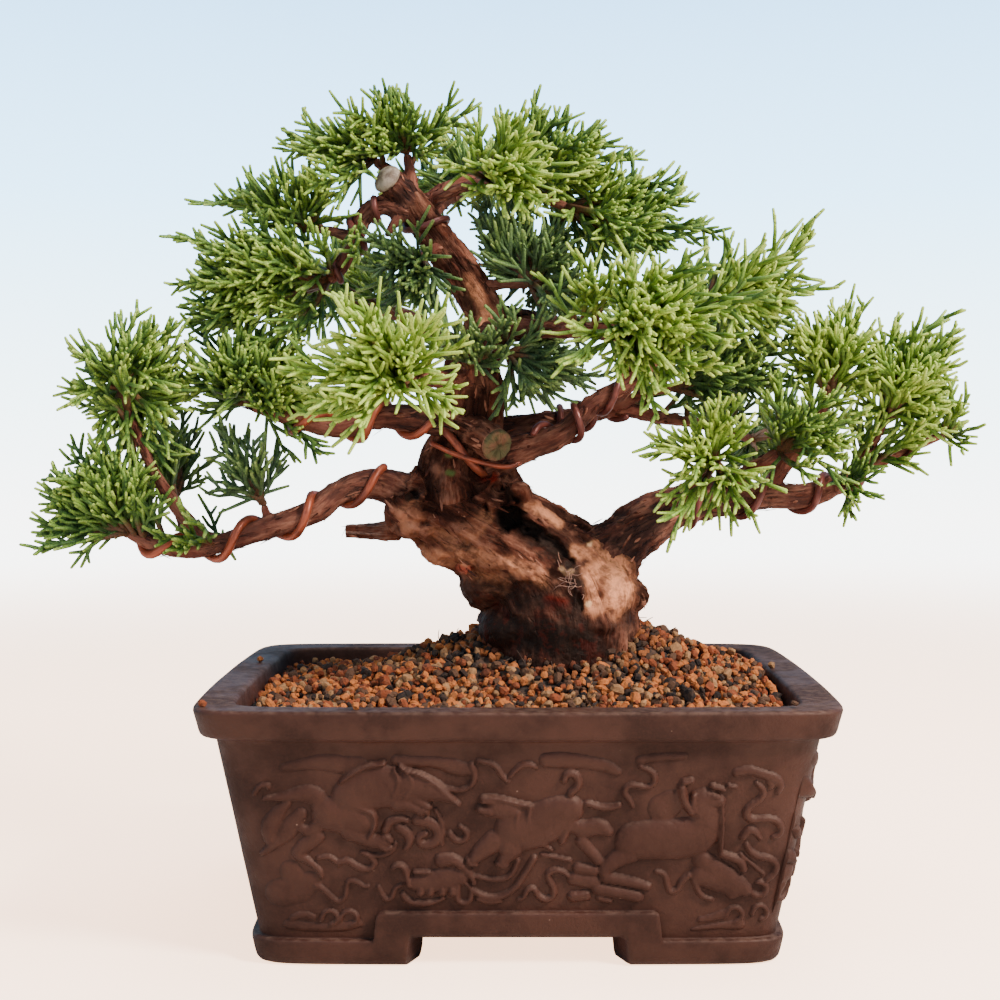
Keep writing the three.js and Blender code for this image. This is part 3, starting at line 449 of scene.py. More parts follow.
def gather(sheaves: list[Sheaf]) -> Sheaf:
    """Puts several meshes together as one, numbering their corners on."""
    starts = np.cumsum([0] + [len(s.points) for s in sheaves[:-1]])
    faces = [f + start for s, start in zip(sheaves, starts) for f in s.faces]
    keys = sheaves[0].layers.keys()
    return Sheaf(np.concatenate([s.points for s in sheaves]), faces,
                 {k: np.concatenate([s.layers[k] for s in sheaves]) for k in keys})


@dataclass(frozen=True)
class Limb:
    """A limb as a smooth curve through its stations, with a radius along it."""

    stations: Array

    @staticmethod
    def named(name: str) -> "Limb":
        """The limb of that name."""
        return Limb(LIMB_STATIONS[name])

    def length(self) -> float:
        """The length of the straight lines between the stations."""
        return np.linalg.norm(np.diff(self.stations[:, :3], axis=0), axis=1).sum()

    def middle(self, share: Array) -> Array:
        """The curve's points.

        Between two stations the curve is the cubic whose slopes weigh the neighbouring chords
        by the square roots of their lengths.

        Args:
            share: places along the limb, from 0 to 1.

        Returns:
            One point for each place.
        """
        knots = self.stations[:, :3]
        knots = np.concatenate([[2 * knots[0] - knots[1]], knots, [2 * knots[-1] - knots[-2]]])
        last = len(self.stations) - 1
        spot = np.clip(share * last, 0, last - 1e-9)
        k = spot.astype(int)
        w = (spot - k)[:, None]
        a, b, c, d = (knots[k + i] for i in range(4))
        gap = [np.sqrt(np.linalg.norm(q - p, axis=1, keepdims=True))
               for p, q in ((a, b), (b, c), (c, d))]
        slope_b = ((b - a) / gap[0] - (c - a) / (gap[0] + gap[1]) + (c - b) / gap[1]) * gap[1]
        slope_c = ((c - b) / gap[1] - (d - b) / (gap[1] + gap[2]) + (d - c) / gap[2]) * gap[1]
        square = -3 * b + 3 * c - 2 * slope_b - slope_c
        cube = 2 * b - 2 * c + slope_b + slope_c
        return b + slope_b * w + square * w ** 2 + cube * w ** 3

    def radius(self, share: Array) -> Array:
        """The radius, in straight lines between the stations."""
        spots = np.linspace(0.0, 1.0, len(self.stations))
        return np.interp(share, spots, self.stations[:, 3])

    def frame(self, share: Array) -> tuple[Array, Array, Array, Array]:
        """The curve's points and, at each, its direction and two directions square to it."""
        middle = self.middle(share)
        along = unit(self.middle(np.minimum(share + 1e-3, 1)) - self.middle(share - 1e-3))
        side = unit(np.array([0.0, 1.0, 0.0]) - along * along[:, 1:2])
        return middle, along, side, np.cross(side, along)


# ---- Shader work ----

def tint(red: float, green: float, blue: float) -> Colour:
    """A display colour, 0 to 1, as linear light."""
    def lift(v: float) -> float:
        """One channel: a straight foot, then a power of 2.4."""
        return v / 12.92 if v <= 0.04045 else ((v + 0.055) / 1.055) ** 2.4
    return (lift(red), lift(green), lift(blue), 1.0)


class Desk:
    """Places shader nodes in a tree and joins them."""

    def __init__(self, tree: Tree) -> None:
        """Keeps the tree."""
        self.tree = tree

    def add(self, kind: str, inputs: dict[Any, Any], **settings: Any) -> bpy.types.Node:
        """Places a node.

        Args:
            kind: the node's type, without its "ShaderNode" prefix.
            inputs: a value or another node's output for each input, by name or number.
            settings: the node's own options.

        Returns:
            The node.
        """
        node = self.tree.nodes.new("ShaderNode" + kind)
        for key, value in settings.items():
            setattr(node, key, value)
        for key, value in inputs.items():
            if isinstance(value, bpy.types.NodeSocket):
                self.tree.links.new(value, node.inputs[key])
            else:
                node.inputs[key].default_value = value
        return node

    def layer(self, key: str, output: str = "Fac") -> Socket:
        """A mesh attribute's value."""
        return self.add("Attribute", {}, attribute_name=key).outputs[output]

    def place(self) -> Socket:
        """Object coordinates, in metres."""
        return self.add("TexCoord", {}).outputs["Object"]

    def stretch(self, vector: Socket, scale: Triple) -> Socket:
        """Multiplies a vector part by part."""
        return self.add("VectorMath", {0: vector, 1: scale}, operation="MULTIPLY").outputs[0]

    def noise(self, vector: Socket, scale: float, detail: float = 3.0,
              rough: float = 0.55) -> Socket:
        """A cloudy value about 0.5."""
        inputs = {"Vector": vector, "Scale": scale, "Detail": detail, "Roughness": rough}
        return self.add("TexNoise", inputs).outputs[0]

    def cells(self, vector: Socket, scale: float, feature: str = "F1") -> Socket:
        """The distance to the nearest of scattered points."""
        return self.add("TexVoronoi", {"Vector": vector, "Scale": scale},
                        feature=feature).outputs["Distance"]

    def math(self, how: str, a: Any, b: Any = 0.5) -> Socket:
        """One step of arithmetic."""
        return self.add("Math", {0: a, 1: b}, operation=how).outputs[0]

    def times(self, a: Any, b: Any) -> Socket:
        """Multiplies two values."""
        return self.math("MULTIPLY", a, b)

    def plus(self, a: Any, b: Any) -> Socket:
        """Adds two values."""
        return self.math("ADD", a, b)

    def span(self, value: Socket, low: float, high: float, out_low: float = 0.0,
             out_high: float = 1.0) -> Socket:
        """Carries low…high to out_low…out_high, smoothly and no further."""
        inputs = {0: value, 1: low, 2: high, 3: out_low, 4: out_high}
        return self.add("MapRange", inputs, interpolation_type="SMOOTHSTEP").outputs[0]

    def mix(self, share: Any, a: Any, b: Any, blend: str = "MIX") -> Socket:
        """Blends two colours."""
        return self.add("Mix", {0: share, 6: a, 7: b}, data_type="RGBA",
                        blend_type=blend).outputs[2]

    def ramp(self, value: Socket, stops: tuple[tuple[float, Colour], ...],
             steps: bool = False) -> Socket:
        """Turns a value into a colour.

        Args:
            value: the value, 0 to 1.
            stops: places and their colours.
            steps: whether the colours change in steps.

        Returns:
            The colour.
        """
        node = self.add("ValToRGB", {0: value})
        node.color_ramp.interpolation = "CONSTANT" if steps else "LINEAR"
        while len(node.color_ramp.elements) < len(stops):
            node.color_ramp.elements.new(0.5)
        for element, (place, colour) in zip(node.color_ramp.elements, stops):
            element.position = place
            element.color = colour
        return node.outputs[0]

    def bump(self, height: Socket, depth: float, under: Socket | None = None) -> Socket:
        """Turns a height into a normal.

        Args:
            height: the height, 0 to 1.
            depth: what a height of 1 stands for, in metres.
            under: another normal that this one adds to.

        Returns:
            The normal.
        """
        inputs: dict[Any, Any] = {"Height": height, "Distance": depth, "Strength": 1.0}
        if under is not None:
            inputs["Normal"] = under
        return self.add("Bump", inputs).outputs[0]

    def use(self, group: Tree, inputs: dict[str, Any]) -> Socket:
        """Places a node group and gives its output."""
        return self.add("Group", inputs, node_tree=group).outputs[0]

    def finish(self, colour: Socket, roughness: Any, normal: Socket | None = None,
               gloss: float = 0.5, more: dict[str, Any] | None = None) -> None:
        """Ends a material in a principled surface.

        Args:
            colour: the base colour.
            roughness: the roughness.
            normal: the normal, where it isn't the mesh's own.
            gloss: the specular level.
            more: other inputs, by name.
        """
        inputs = {"Base Color": colour, "Roughness": roughness, "Specular IOR Level": gloss,
                  **(more or {})}
        if normal is not None:
            inputs["Normal"] = normal
        surface = self.add("BsdfPrincipled", inputs)
        output = self.tree.nodes.new("ShaderNodeOutputMaterial")
        self.tree.links.new(surface.outputs[0], output.inputs["Surface"])


def new_material(name: str) -> tuple[Material, Desk]:
    """An empty material and the desk for its nodes."""
    material = bpy.data.materials.new(name)
    material.use_nodes = True
    material.node_tree.nodes.clear()
    return material, Desk(material.node_tree)


def new_group(name: str, inputs: tuple[tuple[str, str], ...], output: tuple[str, str]
              ) -> tuple[Tree, Desk, bpy.types.Node, bpy.types.Node]:
    """An empty node group.

    Args:
        name: the group's name.
        inputs: each input's name and socket type.
        output: the output's name and socket type.

    Returns:
        The group, its desk, and its input and output nodes.
    """
    group = bpy.data.node_groups.new(name, "ShaderNodeTree")
    for key, kind in inputs:
        group.interface.new_socket(key, in_out="INPUT", socket_type=kind)
    group.interface.new_socket(output[0], in_out="OUTPUT", socket_type=output[1])
    return (group, Desk(group), group.nodes.new("NodeGroupInput"),
            group.nodes.new("NodeGroupOutput"))


@dataclass
class Effects:
    """Effects that several materials share."""

    mottle: Tree
    dust: Tree

    @staticmethod
    def build() -> "Effects":
        """Builds the node groups once."""
        return Effects(Effects.make_mottle(), Effects.make_dust())

    def patches(self, desk: Desk, place: Socket, scale: float) -> Socket:
        """The mottled tone at a place."""
        return desk.use(self.mottle, {"Vector": place, "Scale": scale})

    @staticmethod
    def make_mottle() -> Tree:
        """Cloudy patches: wide noise plus a third of fine noise."""
        group, desk, into, out = new_group(
            "mottled_tone", (("Vector", "NodeSocketVector"), ("Scale", "NodeSocketFloat")),
            ("Value", "NodeSocketFloat"))
        wide = desk.add("TexNoise", {"Vector": into.outputs[0], "Scale": into.outputs[1]})
        fine_scale = desk.times(into.outputs[1], 5.3)
        fine = desk.add("TexNoise", {"Vector": into.outputs[0], "Scale": fine_scale})
        total = desk.math("MULTIPLY_ADD", fine.outputs[0], 0.35)
        total.node.inputs[2].default_value = -0.175
        total = desk.plus(total, wide.outputs[0])
        group.links.new(desk.span(total, 0.3, 0.7), out.inputs[0])
        return group

    @staticmethod
    def make_dust() -> Tree:
        """Dust that settles where a surface faces up, broken by noise."""
        group, desk, into, out = new_group(
            "settled_dust", (("Vector", "NodeSocketVector"), ("Amount", "NodeSocketFloat")),
            ("Mask", "NodeSocketFloat"))
        normal = desk.add("NewGeometry", {}).outputs["Normal"]
        up = desk.add("SeparateXYZ", {0: normal}).outputs[2]
        facing = desk.span(up, 0.15, 0.95)
        grain = desk.span(desk.noise(into.outputs[0], 420.0, 4.0), 0.35, 0.68)
        mask = desk.times(facing, grain)
        group.links.new(desk.times(mask, into.outputs[1]), out.inputs[0])
        return group


# ---- Pot ----

# Raised strokes of the long front, "height: x,z,radius x,z,radius" along each stroke; a point
# without a radius takes the stroke's last.
CARVED_TABLE = """
0.5: -58,52,1.2 -52,53,1.8 -47,53.5,2.4 -43,52.5,2.6 -39,52.5,2.4
0.6: -30,54,1.5 -26,53.5,1.6 -20,53.5,1.4 -15,52,2.5 -12,51.5,1.5
0.6: 7,54,2 12,54,2.2 17,53.5,1.8 22,52.5,1.8 24.5,51,1.2
0.55: 30,54,1.2 33,54.5,1.2 37,54.8,1.2 41,55,1
0.7: 54,50.8,1.2 57,51.5,1.4 60.5,50.3,1.2 63.5,49.3,1.4 65.5,47.3,1.1 64.5,45.5,0.8
0.6: 62.2,48.2,0.8 63.2,47.3,0.9 62.3,46.6,0.6
0.5: -58,10.5,1.5 -52,9.5,2 -49,8.8,2.2 -44,10,1.5 -40,11,1.2
0.75: -49.6,12 -48.9,14 -47,14.7 -45.4,13.4 -45.5,11.6 -47,10.9,0.7
0.75: -44.8,12 -44,14 -42.2,14.6 -40.5,13.4 -40.4,11.6 -42,10.9,0.7
0.6: -57,12.4,0.9 -54,13.6,1.1 -51.5,12.6,0.9
0.55: 46,12,1 49,12.5,1.2 52,13.5,1.4
0.75: 52.4,13 53,15 54.8,15.5 56.5,14.3 56.5,12.4 55,11.4,0.7
0.75: 59,13.4 59.6,15.4 61.4,15.8 62.8,14.4 62.8,12.6 61.4,11.8,0.7
0.5: 56,10.5,1.6 50,10.3,1 44,9.3,0.6
0.8: -65.5,45 -64.5,47 -62,47.8 -61.8,46.8,0.7
0.9: -63,44,0.6 -58,44.5,1.2 -53,45.5,2.4 -49.5,44.5,2.8 -50,42,1.6
0.8: -57,43,1 -60,40,2 -62,36.5,2.6 -62,33.5,1.8
0.7: -54,40,1.8 -57,36,2.8 -60,32.5,1.6 -64,29.5,0.8
0.8: -49,38,2.2 -51.5,35,1.8 -54,36.5,1.2
0.8: -50,34,2 -54,31,2.2 -55.5,29.5,1.5 -52,27.5,1 -49.5,25,0.9 -49,23.5,0.6
0.7: -51,21.5,0.6 -49,20.5,0.8 -47,18,0.9 -45,16.6,0.8 -43.3,18,0.7 -43,21,0.7 -42.5,22.6,0.7
  -40.5,22.4,0.7 -39,21,0.7 -37.5,21,0.5
0.7: -35,21,0.6 -34,18.5,0.8 -33,17.2,0.8 -31.5,18,0.7 -31,20.5,0.7 -29,21.5,0.5
0.8: -39,30,0.5 -37,29.3,0.9 -35.5,27.3,0.9 -37,25.3,0.8 -40,26,1.2 -42.5,28,0.9 -44.5,27.5,0.8
0.7: -50,28.5,0.6 -47,29,0.9 -44.8,26.8,0.8
0.7: -38,29.5,0.5 -34,29,0.8 -31,30.5,0.8 -30.5,32.5,0.6
0.5: -60,19,4 -55,20,4 -52,22,3
0.5: -55,20,4 -57,25,3
1.3: -47,40,4.5 -42,39.5,5 -39,38.5,4
1.4: -41,44,5.5 -36,47.5,6 -31,47,5.5 -27,47,4.5
1.1: -42,35.5,2.4 -37,33,1.8 -33.5,33,2.2
1.2: -33.6,34.4,0.7 -32.3,34.3,0.8 -31.7,33.2,0.7
1.2: -34.4,32,0.7 -33,31,0.8 -31.8,31.4,0.6
1.5: -27,48,4 -23,47,3.6 -19.5,46,2.4 -16.5,44.2,1.2
1.2: -25,44,1.6 -22,42.2,1
1.65: -29,53,0.5 -28.5,52,0.5 -24.5,51,0.5 -21,49,0.7 -18,46,0.5 -14.5,42.8,0.4
1.6: -27.5,51.5,0.5 -26,49.5,0.7 -26.5,47,0.7 -28,45,0.6
1.6: -30.5,52,0.5 -29.4,50,0.7 -29.8,47.4,0.7 -31,45.4,0.6
1.65: -22.6,48.6,0.8 -21.2,48.4,0.7
1.5: -18,45.4,0.9 -16.9,44.6,0.8
1.3: -30,43,2.4 -26.5,42.5,1.5 -23.8,41,1.3
1.4: -24.2,41.8,0.6 -22.8,41.4,0.6 -22.3,40.4,0.5
1.45: -41,43,0.6 -38,41.5,0.7 -35.5,40.5,0.7 -35.5,37,0.7 -37,34.5,0.6
1.5: -44,48.5,0.5 -41,51,0.7 -37,53,0.7 -33,53.5,0.6
0.9: -33,36,1.2 -32,38.3,1.2 -29,39,1 -27.5,38.5,0.8
0.9: -29.5,36.5,1.4 -27.5,35.2,1.4 -26.8,33,1.2 -28,31,0.8
0.9: -25,38.5,1.6 -21.5,38,1.6 -19.5,35.5,1.5 -20.5,32.5,1.5 -24,31.8,1.2 -25,34,1 -23,35,0.9
0.8: -20.5,41.2,0.6 -19,38.5,0.6 -18.6,35.5,0.6 -19,32,0.5
0.9: -17,35,1 -15.5,33,1 -13,33.3,1 -12.5,35.5,0.9 -14.5,37,0.6
0.9: -26,22,2.2 -22,22,3 -17.5,23,3.4 -14.5,23.5,2.4
1.1: -24.5,19.5,1.2 -24.4,20.5,0.9
1.1: -22,19.5,1.2 -21.9,20.5,0.9
1.1: -19,19.5,1.2 -18.9,20.5,0.9
1.1: -16.5,19.5,1.2 -16.4,20.5,0.9
1.2: -31.5,26,0.6 -30,27,0.7 -28.3,26.3,0.9 -27.6,23.5,0.8 -27.3,21.3,0.6
0.8: -29,19,0.8 -28,17.3,1 -25,16.3,1 -21,16.8,0.8 -18.5,18,0.5
1.0: -19,28,2 -16.5,28.5,1.8 -13.5,26.5,1.2 -11.5,24,0.9 -11,22,0.6
1.15: -26,25,0.5 -22,25,0.5
1.2: -20,27.4,0.4 -17,28.4,0.5 -13.6,26.3,0.4
0.8: -15,21,0.8 -15.5,17.5,0.9 -13.5,16.3,0.8 -11.8,17.5,0.8 -11.6,20.5,0.7 -13,22,0.6
0.8: -19,47.5,0.5 -16,46.3,0.7 -13,46.5,0.7 -11,48,0.8 -10.7,51,0.9 -11.5,53,0.8
0.8: -10,54,0.5 -7,53.5,0.8 -5,52,0.8 -4,50,0.8 -2.5,48.6,0.6
0.8: -2,50,0.6 -0.5,51.5,0.8 1,53,0.9 3.5,53,0.8 4.5,52,0.5
0.85: 4,28.5,1 2,25,1 0,21.5,1 -2.5,19,0.9 -6,18,1 -9,18.5,1 -11,20,0.8
0.8: 0,28,0.8 -1.5,24,0.8 -4,22.8,0.7 -8,23,0.7 -11,24,0.6
0.8: -10,17.8,0.8 -7,16.8,0.8 -4.5,17.3,0.7
0.85: 0,17.5,0.5 1.5,18,0.7 2.2,20.3,0.8 4,20.8,0.8 5,18.5,0.9 7,17.3,1 9,18.3,0.9 9,20.5,0.9
  8,22.5,0.9 7.2,24.3,0.9 8.8,25.5,0.9 11,25.3,0.8 12.5,24,0.6
0.8: 6,29.5,0.6 9,29,0.6 13,28,0.6
0.8: 6.5,32,0.5 8.5,30.8,0.5
1.3: -9,44.5,0.6 -5,44.5,0.8 0,43,0.7 3,42.5,0.6
1.25: -5,42,3 -1,41,2.6
1.35: -9.5,41.5,1.2 -7,41,1.6
1.45: -8.8,43.6,0.6 -6,43.6,0.6
1.4: 0,36,6 5,37,6 10,40,5 13,41.5,3.5
1.2: -2,33,4 -3,31,2
1.1: -6,33,3 -9,30.5,2.5 -11,28.5,1.6
1.1: -1,31,2.4 -3.5,28.5,1.8 -4,27.5,1.4
1.2: -5.4,27.3,0.5 -4,26.3,0.5 -2.6,27,0.5
1.2: -12.6,28.4,0.6 -12,27,0.6 -10.4,27,0.5
1.5: 3,42.5,0.6 2.2,39,0.7 3.4,36,0.6
1.5: 0,41,0.6 -0.6,38,0.6 0.6,35.4,0.6
1.0: 17,43,0.9 22,41.5,1 25,42.5,0.8
1.1: 11,33,1 12.5,38,1.6 16,36,2.5 20,37,2.6 22.5,35.5,1.4
1.0: 16,33,1.8 18,30.5,1.5 20,28,1.4
0.9: 13,45.5,1 15.2,47.5,1.1 14.5,50.5,1.1 12,50.8,1 11.3,48.8,0.9
0.9: 15,26,1.5 19,25.3,1.5
0.9: 14,23,1.9 19,22.2,1.9
1.0: 20,20.5,1.7 26,19.3,1.7 30,18.3,1.7
0.95: 22,23.5,1.6 28,22.3,1.5 32.5,21,1.2
0.9: 13.8,18.3,1.6 17,18.6,1.6
1.1: 13.2,18.9,0.4 17.4,19.2,0.4
0.8: 20.5,18,1 23,17.3,0.9
1.05: 28,30,3 24,28,2.4 21.5,25.5,1.8 22,23.5,1.2
1.4: 29,33,5 35,33.5,5.5 41,33.5,5.5 46,35,5 47,39,4
1.4: 47,40,4 45,43.5,3.6 48,44,2.6 50,43.5,1.6
1.5: 40.5,47,1.2 41,44,1.2 43,41,1.2
1.5: 43.4,45.4,0.6 43.2,42.5,0.7 45,40,0.6
1.2: 41,48.5,1 43,48.8,0.8
1.2: 48,47.5,0.8 51,46.5,0.6
1.0: 52,47.5,0.6 54,47,0.5
1.5: 50.4,44,0.5 50.8,38,0.6 50.5,30,0.5
1.6: 48.2,45.2,0.6 49.4,44.9,0.5
0.6: 36,41.5,4 38,43,3.5
1.0: 46,28,2.5 50,25,3 54,22,3 57,20,2
1.0: 46,24,3 51,22.5,3.5 55,21,3
1.05: 51,29.5,1 54,28.5,1.2 56,27.5,1.2 56.5,25.5,1
0.8: 55.5,29.7,0.5 61.5,24,0.6
0.9: 56,34,1 57.5,36,1.3 59,35.5,1 60.5,33.5,0.6
0.85: 57,32,0.8 58,30,0.9 60,28.8,1 63,28.2,1 65,26.5,1 64.5,24,0.9 62.5,22.5,0.8
0.85: 59,48,0.6 61,46.2,0.9 60.5,44,0.9 57.5,42,1.1 56.5,40,1.2 58,38.3,1.1 61.5,38.8,1 64.5,38.2,1
  66,36,1 65,34,0.8 63.5,33.7,0.5
0.85: 30,52.5,0.6 33.5,51,0.8 34,48.5,0.9 32.5,46.8,0.7 29.5,47.5,0.8 27.5,47.8,0.8 26,46,0.9
  27.5,44,0.8 28.5,42,0.6
0.8: 34.5,25,0.6 36.8,24.5,0.8 37.5,21,0.9 38.3,19.3,0.9 40.2,20,0.9 41,22.5,0.9 42.8,24,0.9
0.8: 44,23,0.9 45,20,0.9 46.5,18,0.8 49,17.5,0.5
0.7: 52.5,19.5,0.7 53.5,18,0.8 55.3,18.6,0.7 55.8,20.5,0.6
0.8: 58,20,0.8 59.5,18.3,0.9 62,18.5,0.9 62.6,20.8,0.9 61,22,0.8 59.8,21.8,0.5
"""


class Side(Enum):
    """A side of the pot, with its turn about the vertical in quarter turns."""

    FRONT = 0
    RIGHT = 1
    BACK = 2
    LEFT = 3


CARVED_GAIN = 1.5  # how much deeper than the strokes' own heights the carving stands


def rounded(knots: Array, rounds: int = 2) -> Array:
    """Cuts the corners of a chain: each inner corner gives way to points a quarter along."""
    for _ in range(rounds if len(knots) > 2 else 0):
        near, far = 0.75 * knots[:-1] + 0.25 * knots[1:], 0.25 * knots[:-1] + 0.75 * knots[1:]
        inner = np.stack([near, far], axis=1).reshape(-1, knots.shape[1])[1:-1]
        knots = np.concatenate([knots[:1], inner, knots[-1:]])
    return knots


def carved_height(x: Array, z: Array) -> Array:
    """Height of the carving over the wall.

    A stroke is a chain of tapered rods, and a rod's height is the gain times
    h · sqrt(1 − (distance / radius)²); where strokes meet, the higher one stands.

    Args:
        x: places along the wall, a grid.
        z: heights on the wall, a grid.

    Returns:
        The carving's height at each place.
    """
    total = np.zeros(x.shape)
    for height, text in parse_table(CARVED_TABLE):
        knots = [[float(v) for v in knot.split(",")] for knot in text.split()]
        width = next(k[2] for k in reversed(knots) if len(k) == 3)
        rods = rounded(np.array([k if len(k) == 3 else [*k, width] for k in knots]))
        low = (rods[:, :2] - rods[:, 2:]).min(axis=0)
        high = (rods[:, :2] + rods[:, 2:]).max(axis=0)
        rows = np.flatnonzero((z[:, 0] > low[1]) & (z[:, 0] < high[1]))
        columns = np.flatnonzero((x.max(axis=0) > low[0]) & (x.min(axis=0) < high[0]))
        if not len(rows) or not len(columns):
            continue
        part = (slice(rows[0], rows[-1] + 1), slice(columns[0], columns[-1] + 1))
        across, rise, area = x[part], z[part], total[part]
        for (x0, z0, r0), (x1, z1, r1) in zip(rods[:-1], rods[1:]):
            chord = max((x1 - x0) ** 2 + (z1 - z0) ** 2, 1e-6)
            share = np.clip(((across - x0) * (x1 - x0) + (rise - z0) * (z1 - z0)) / chord, 0, 1)
            away = ((across - x0 - share * (x1 - x0)) ** 2
                    + (rise - z0 - share * (z1 - z0)) ** 2)
            radius = r0 + share * (r1 - r0)
            rod = CARVED_GAIN * float(height) * np.sqrt(np.maximum(1.0 - away / radius ** 2, 0.0))
            np.maximum(area, rod, out=area)
    return total


@dataclass
class Pot:
    """The ceramic pot: its body and a carved panel on each side."""

    columns: int = 720
    base: float = 7.6  # height of the underside between the feet
    foot_proud: float = 2.0
    foot_top: Pair = (6.9, 7.5)  # the foot band's height and its middle's rise
    step_half: Pair = (36.7, 25.0)
    arch_half: Pair = (29.0, 18.0)
    arch_rise: float = 7.4
    foot_under: str = "8.2,0 2.4,0 1.2,0.15 0.45,0.6 0.08,1.4"  # inset, height over the floor
    foot_over: str = "0,1.2 0.12,0.55 0.45,0.15 0.95,0 2,0.05"  # inset, depth under the top
    rim: str = ("4.95,58.2 4.5,58.8 3.8,59.1 2.6,59.2 1.9,59.5 1.5,60 1.2,60.8 0.85,62.3 0.4,64 "
                "0,65.6 0.08,66.15 0.4,66.5 1,66.68 2.2,66.7 4.5,66.5 7.6,66.5 9.1,66.45 "
                "9.7,66.1 10,65.5 10.15,64")
    inner_heights: tuple[float, ...] = (59.1, 45.0, 30.0, 18.0, 15.0)
    drain: Pair = (32.0, 8.0)  # distance from the middle, and radius
    panel_step: float = 0.4
    panel_span: Pair = (7.6, 57.6)
    panel_reach: float = 0.965  # share of the side's half length that the panel covers
    wall_lean: float = -0.2  # the tapering wall's normal looks down by this share
    panel_ends: Pair = (14.0, 9.5)  # the carving fades this near the corners
    panel_back: float = 1.2
    sunk: float = 0.22  # how deep a panel's bare ground lies inside the wall
    grit: float = 0.06
    short_shift: float = 33.0  # which part of the long side's carving the short sides have

    def band(self, x: Array, y: Array, half: Pair, edge: float) -> Array:
        """1 over the middle stretch of each side, 0 at the corners, with a soft edge."""
        on_long = 1.0 - smoothstep(half[0] - edge, half[0] + edge, np.abs(x))
        on_short = 1.0 - smoothstep(half[1] - edge, half[1] + edge, np.abs(y))
        return np.maximum(on_long, on_short)

    def build_body(self) -> Piece:
        """Builds the body.

        A closed profile of inset and height is carried round the plan. The foot's underside
        rises in the arches, and the foot band's top rises over the middle of each side.

        Returns:
            The body.
        """
        turn = even_turns(self.columns)
        x0, y0 = plan_outline(turn, np.full_like(turn, 11.5))
        low = self.arch_rise * self.band(x0, y0, self.arch_half, 1.0)
        top = self.foot_top[0] + self.foot_top[1] * self.band(x0, y0, self.step_half, 1.1)
        rows: list[tuple[Array, Array]] = []

        def row(inset: Any, z: Any) -> None:
            """Adds a row; a single number holds all round."""
            rows.append((np.broadcast_to(inset, turn.shape), np.broadcast_to(z, turn.shape)))

        def proud(z: Array) -> Array:
            """The foot band's inset."""
            return wall_inset(z) - self.foot_proud

        row(proud(low) + 9.2, self.base)
        row(proud(low) + 9.0, np.minimum(low + 0.8, self.base - 0.05))
        for out, lift in parse_points(self.foot_under):
            row(proud(low + lift) + out, low + lift)
        for share in (0.35, 0.7):
            z = low + 1.4 + (top - low - 2.6) * share
            row(proud(z), z)
        for out, drop in parse_points(self.foot_over):
            row(proud(top - drop) + out, top - drop)
        for share in np.linspace(0.0, 1.0, 14):
            z = top + 0.35 + (57.4 - top) * share
            row(wall_inset(z), z)
        for inset, z in parse_points(self.rim):
            row(inset, z)
        for z in self.inner_heights:
            row(wall_inset(np.float64(z)) + WALL, z)
        row(wall_inset(np.float64(FLOOR_TOP)) + WALL + 2.0, FLOOR_TOP)
        inset = np.array([r[0] for r in rows])
        z = np.array([r[1] for r in rows]).copy()
        x, y = plan_outline(turn[None], inset)
        points = np.stack([x, y, z], axis=-1).reshape(-1, 3)
        wobble = 0.12 * layered_noise(points, 24.0, 2, 11)
        outer = (z.ravel() > 16.0) & (z.ravel() < 60.0)
        points[:, :2] -= np.where(outer, np.abs(wobble), 0)[:, None] * unit(points[:, :2])
        body = build_object("pot_body", *capped(
            points, self.columns, [0, 0, self.base], [0, 0, FLOOR_TOP]))
        self.drill(body)
        return body

    def drill(self, body: Piece) -> None:
        """Cuts the two drain holes through the floor."""
        where, radius = self.drain
        paths = np.array([[[s * where, 0, 0.5], [s * where, 0, 20]] for s in (-1, 1)])
        points, faces, _, _ = sweep(paths, np.full((2, 2), radius), 40, dome=0.0)
        cutter = build_object("drain_cutter", points, faces, smooth=False)
        cut = body.modifiers.new("drains", "BOOLEAN")
        cut.operation, cut.object, cut.solver = "DIFFERENCE", cutter, "EXACT"
        baked(body)
        bpy.data.objects.remove(cutter)

    def wall_grid(self, half: float, depth: float) -> tuple[Array, Array]:
        """Places on a side's wall, as if it were the front, and the wall's normals there.

        Columns stand in even steps of the plan's outline and rows in even steps of height.

        Args:
            half: half the side's length at the rim.
            depth: how far the side's rim stands from the pot's middle.

        Returns:
            The places and the normals, a row for each height.
        """
        shares = np.linspace(-self.panel_reach, self.panel_reach, 4001)
        curve = (1.0 - np.abs(shares) ** PLAN_POWER) ** (1.0 / PLAN_POWER)
        walked = np.concatenate([[0.0], np.cumsum(np.hypot(
            np.diff(shares) * (half - 8), np.diff(curve) * (depth - 8)))])
        columns = int(walked[-1] / self.panel_step)
        across = np.interp(np.linspace(0, walked[-1], columns), walked, shares)
        bottom, top = self.panel_span
        z = np.linspace(bottom, top, int((top - bottom) / self.panel_step))
        inset = wall_inset(z)[:, None]
        x = (half - inset) * across
        wall = -(depth - inset) * (1 - np.abs(across) ** PLAN_POWER) ** (1 / PLAN_POWER)
        x, wall = (x * (1.0 - PLAN_BOW * (wall / depth) ** 2),
                   wall * (1.0 - PLAN_BOW * (x / half) ** 2))
        turn = 2.0 * PLAN_BOW * x / half ** 2 * depth
        normal_x = np.sign(x) * np.abs(across) ** (PLAN_POWER - 1) / half + turn / depth
        normal_y = -np.broadcast_to(1.0 - np.abs(across) ** PLAN_POWER, x.shape) ** (
            1.0 - 1.0 / PLAN_POWER) / depth
        normal_z = self.wall_lean * np.hypot(normal_x, normal_y)
        return (np.stack([x, wall, np.broadcast_to(z[:, None], x.shape)], axis=-1),
                unit(np.stack([normal_x, normal_y, normal_z], axis=-1)))

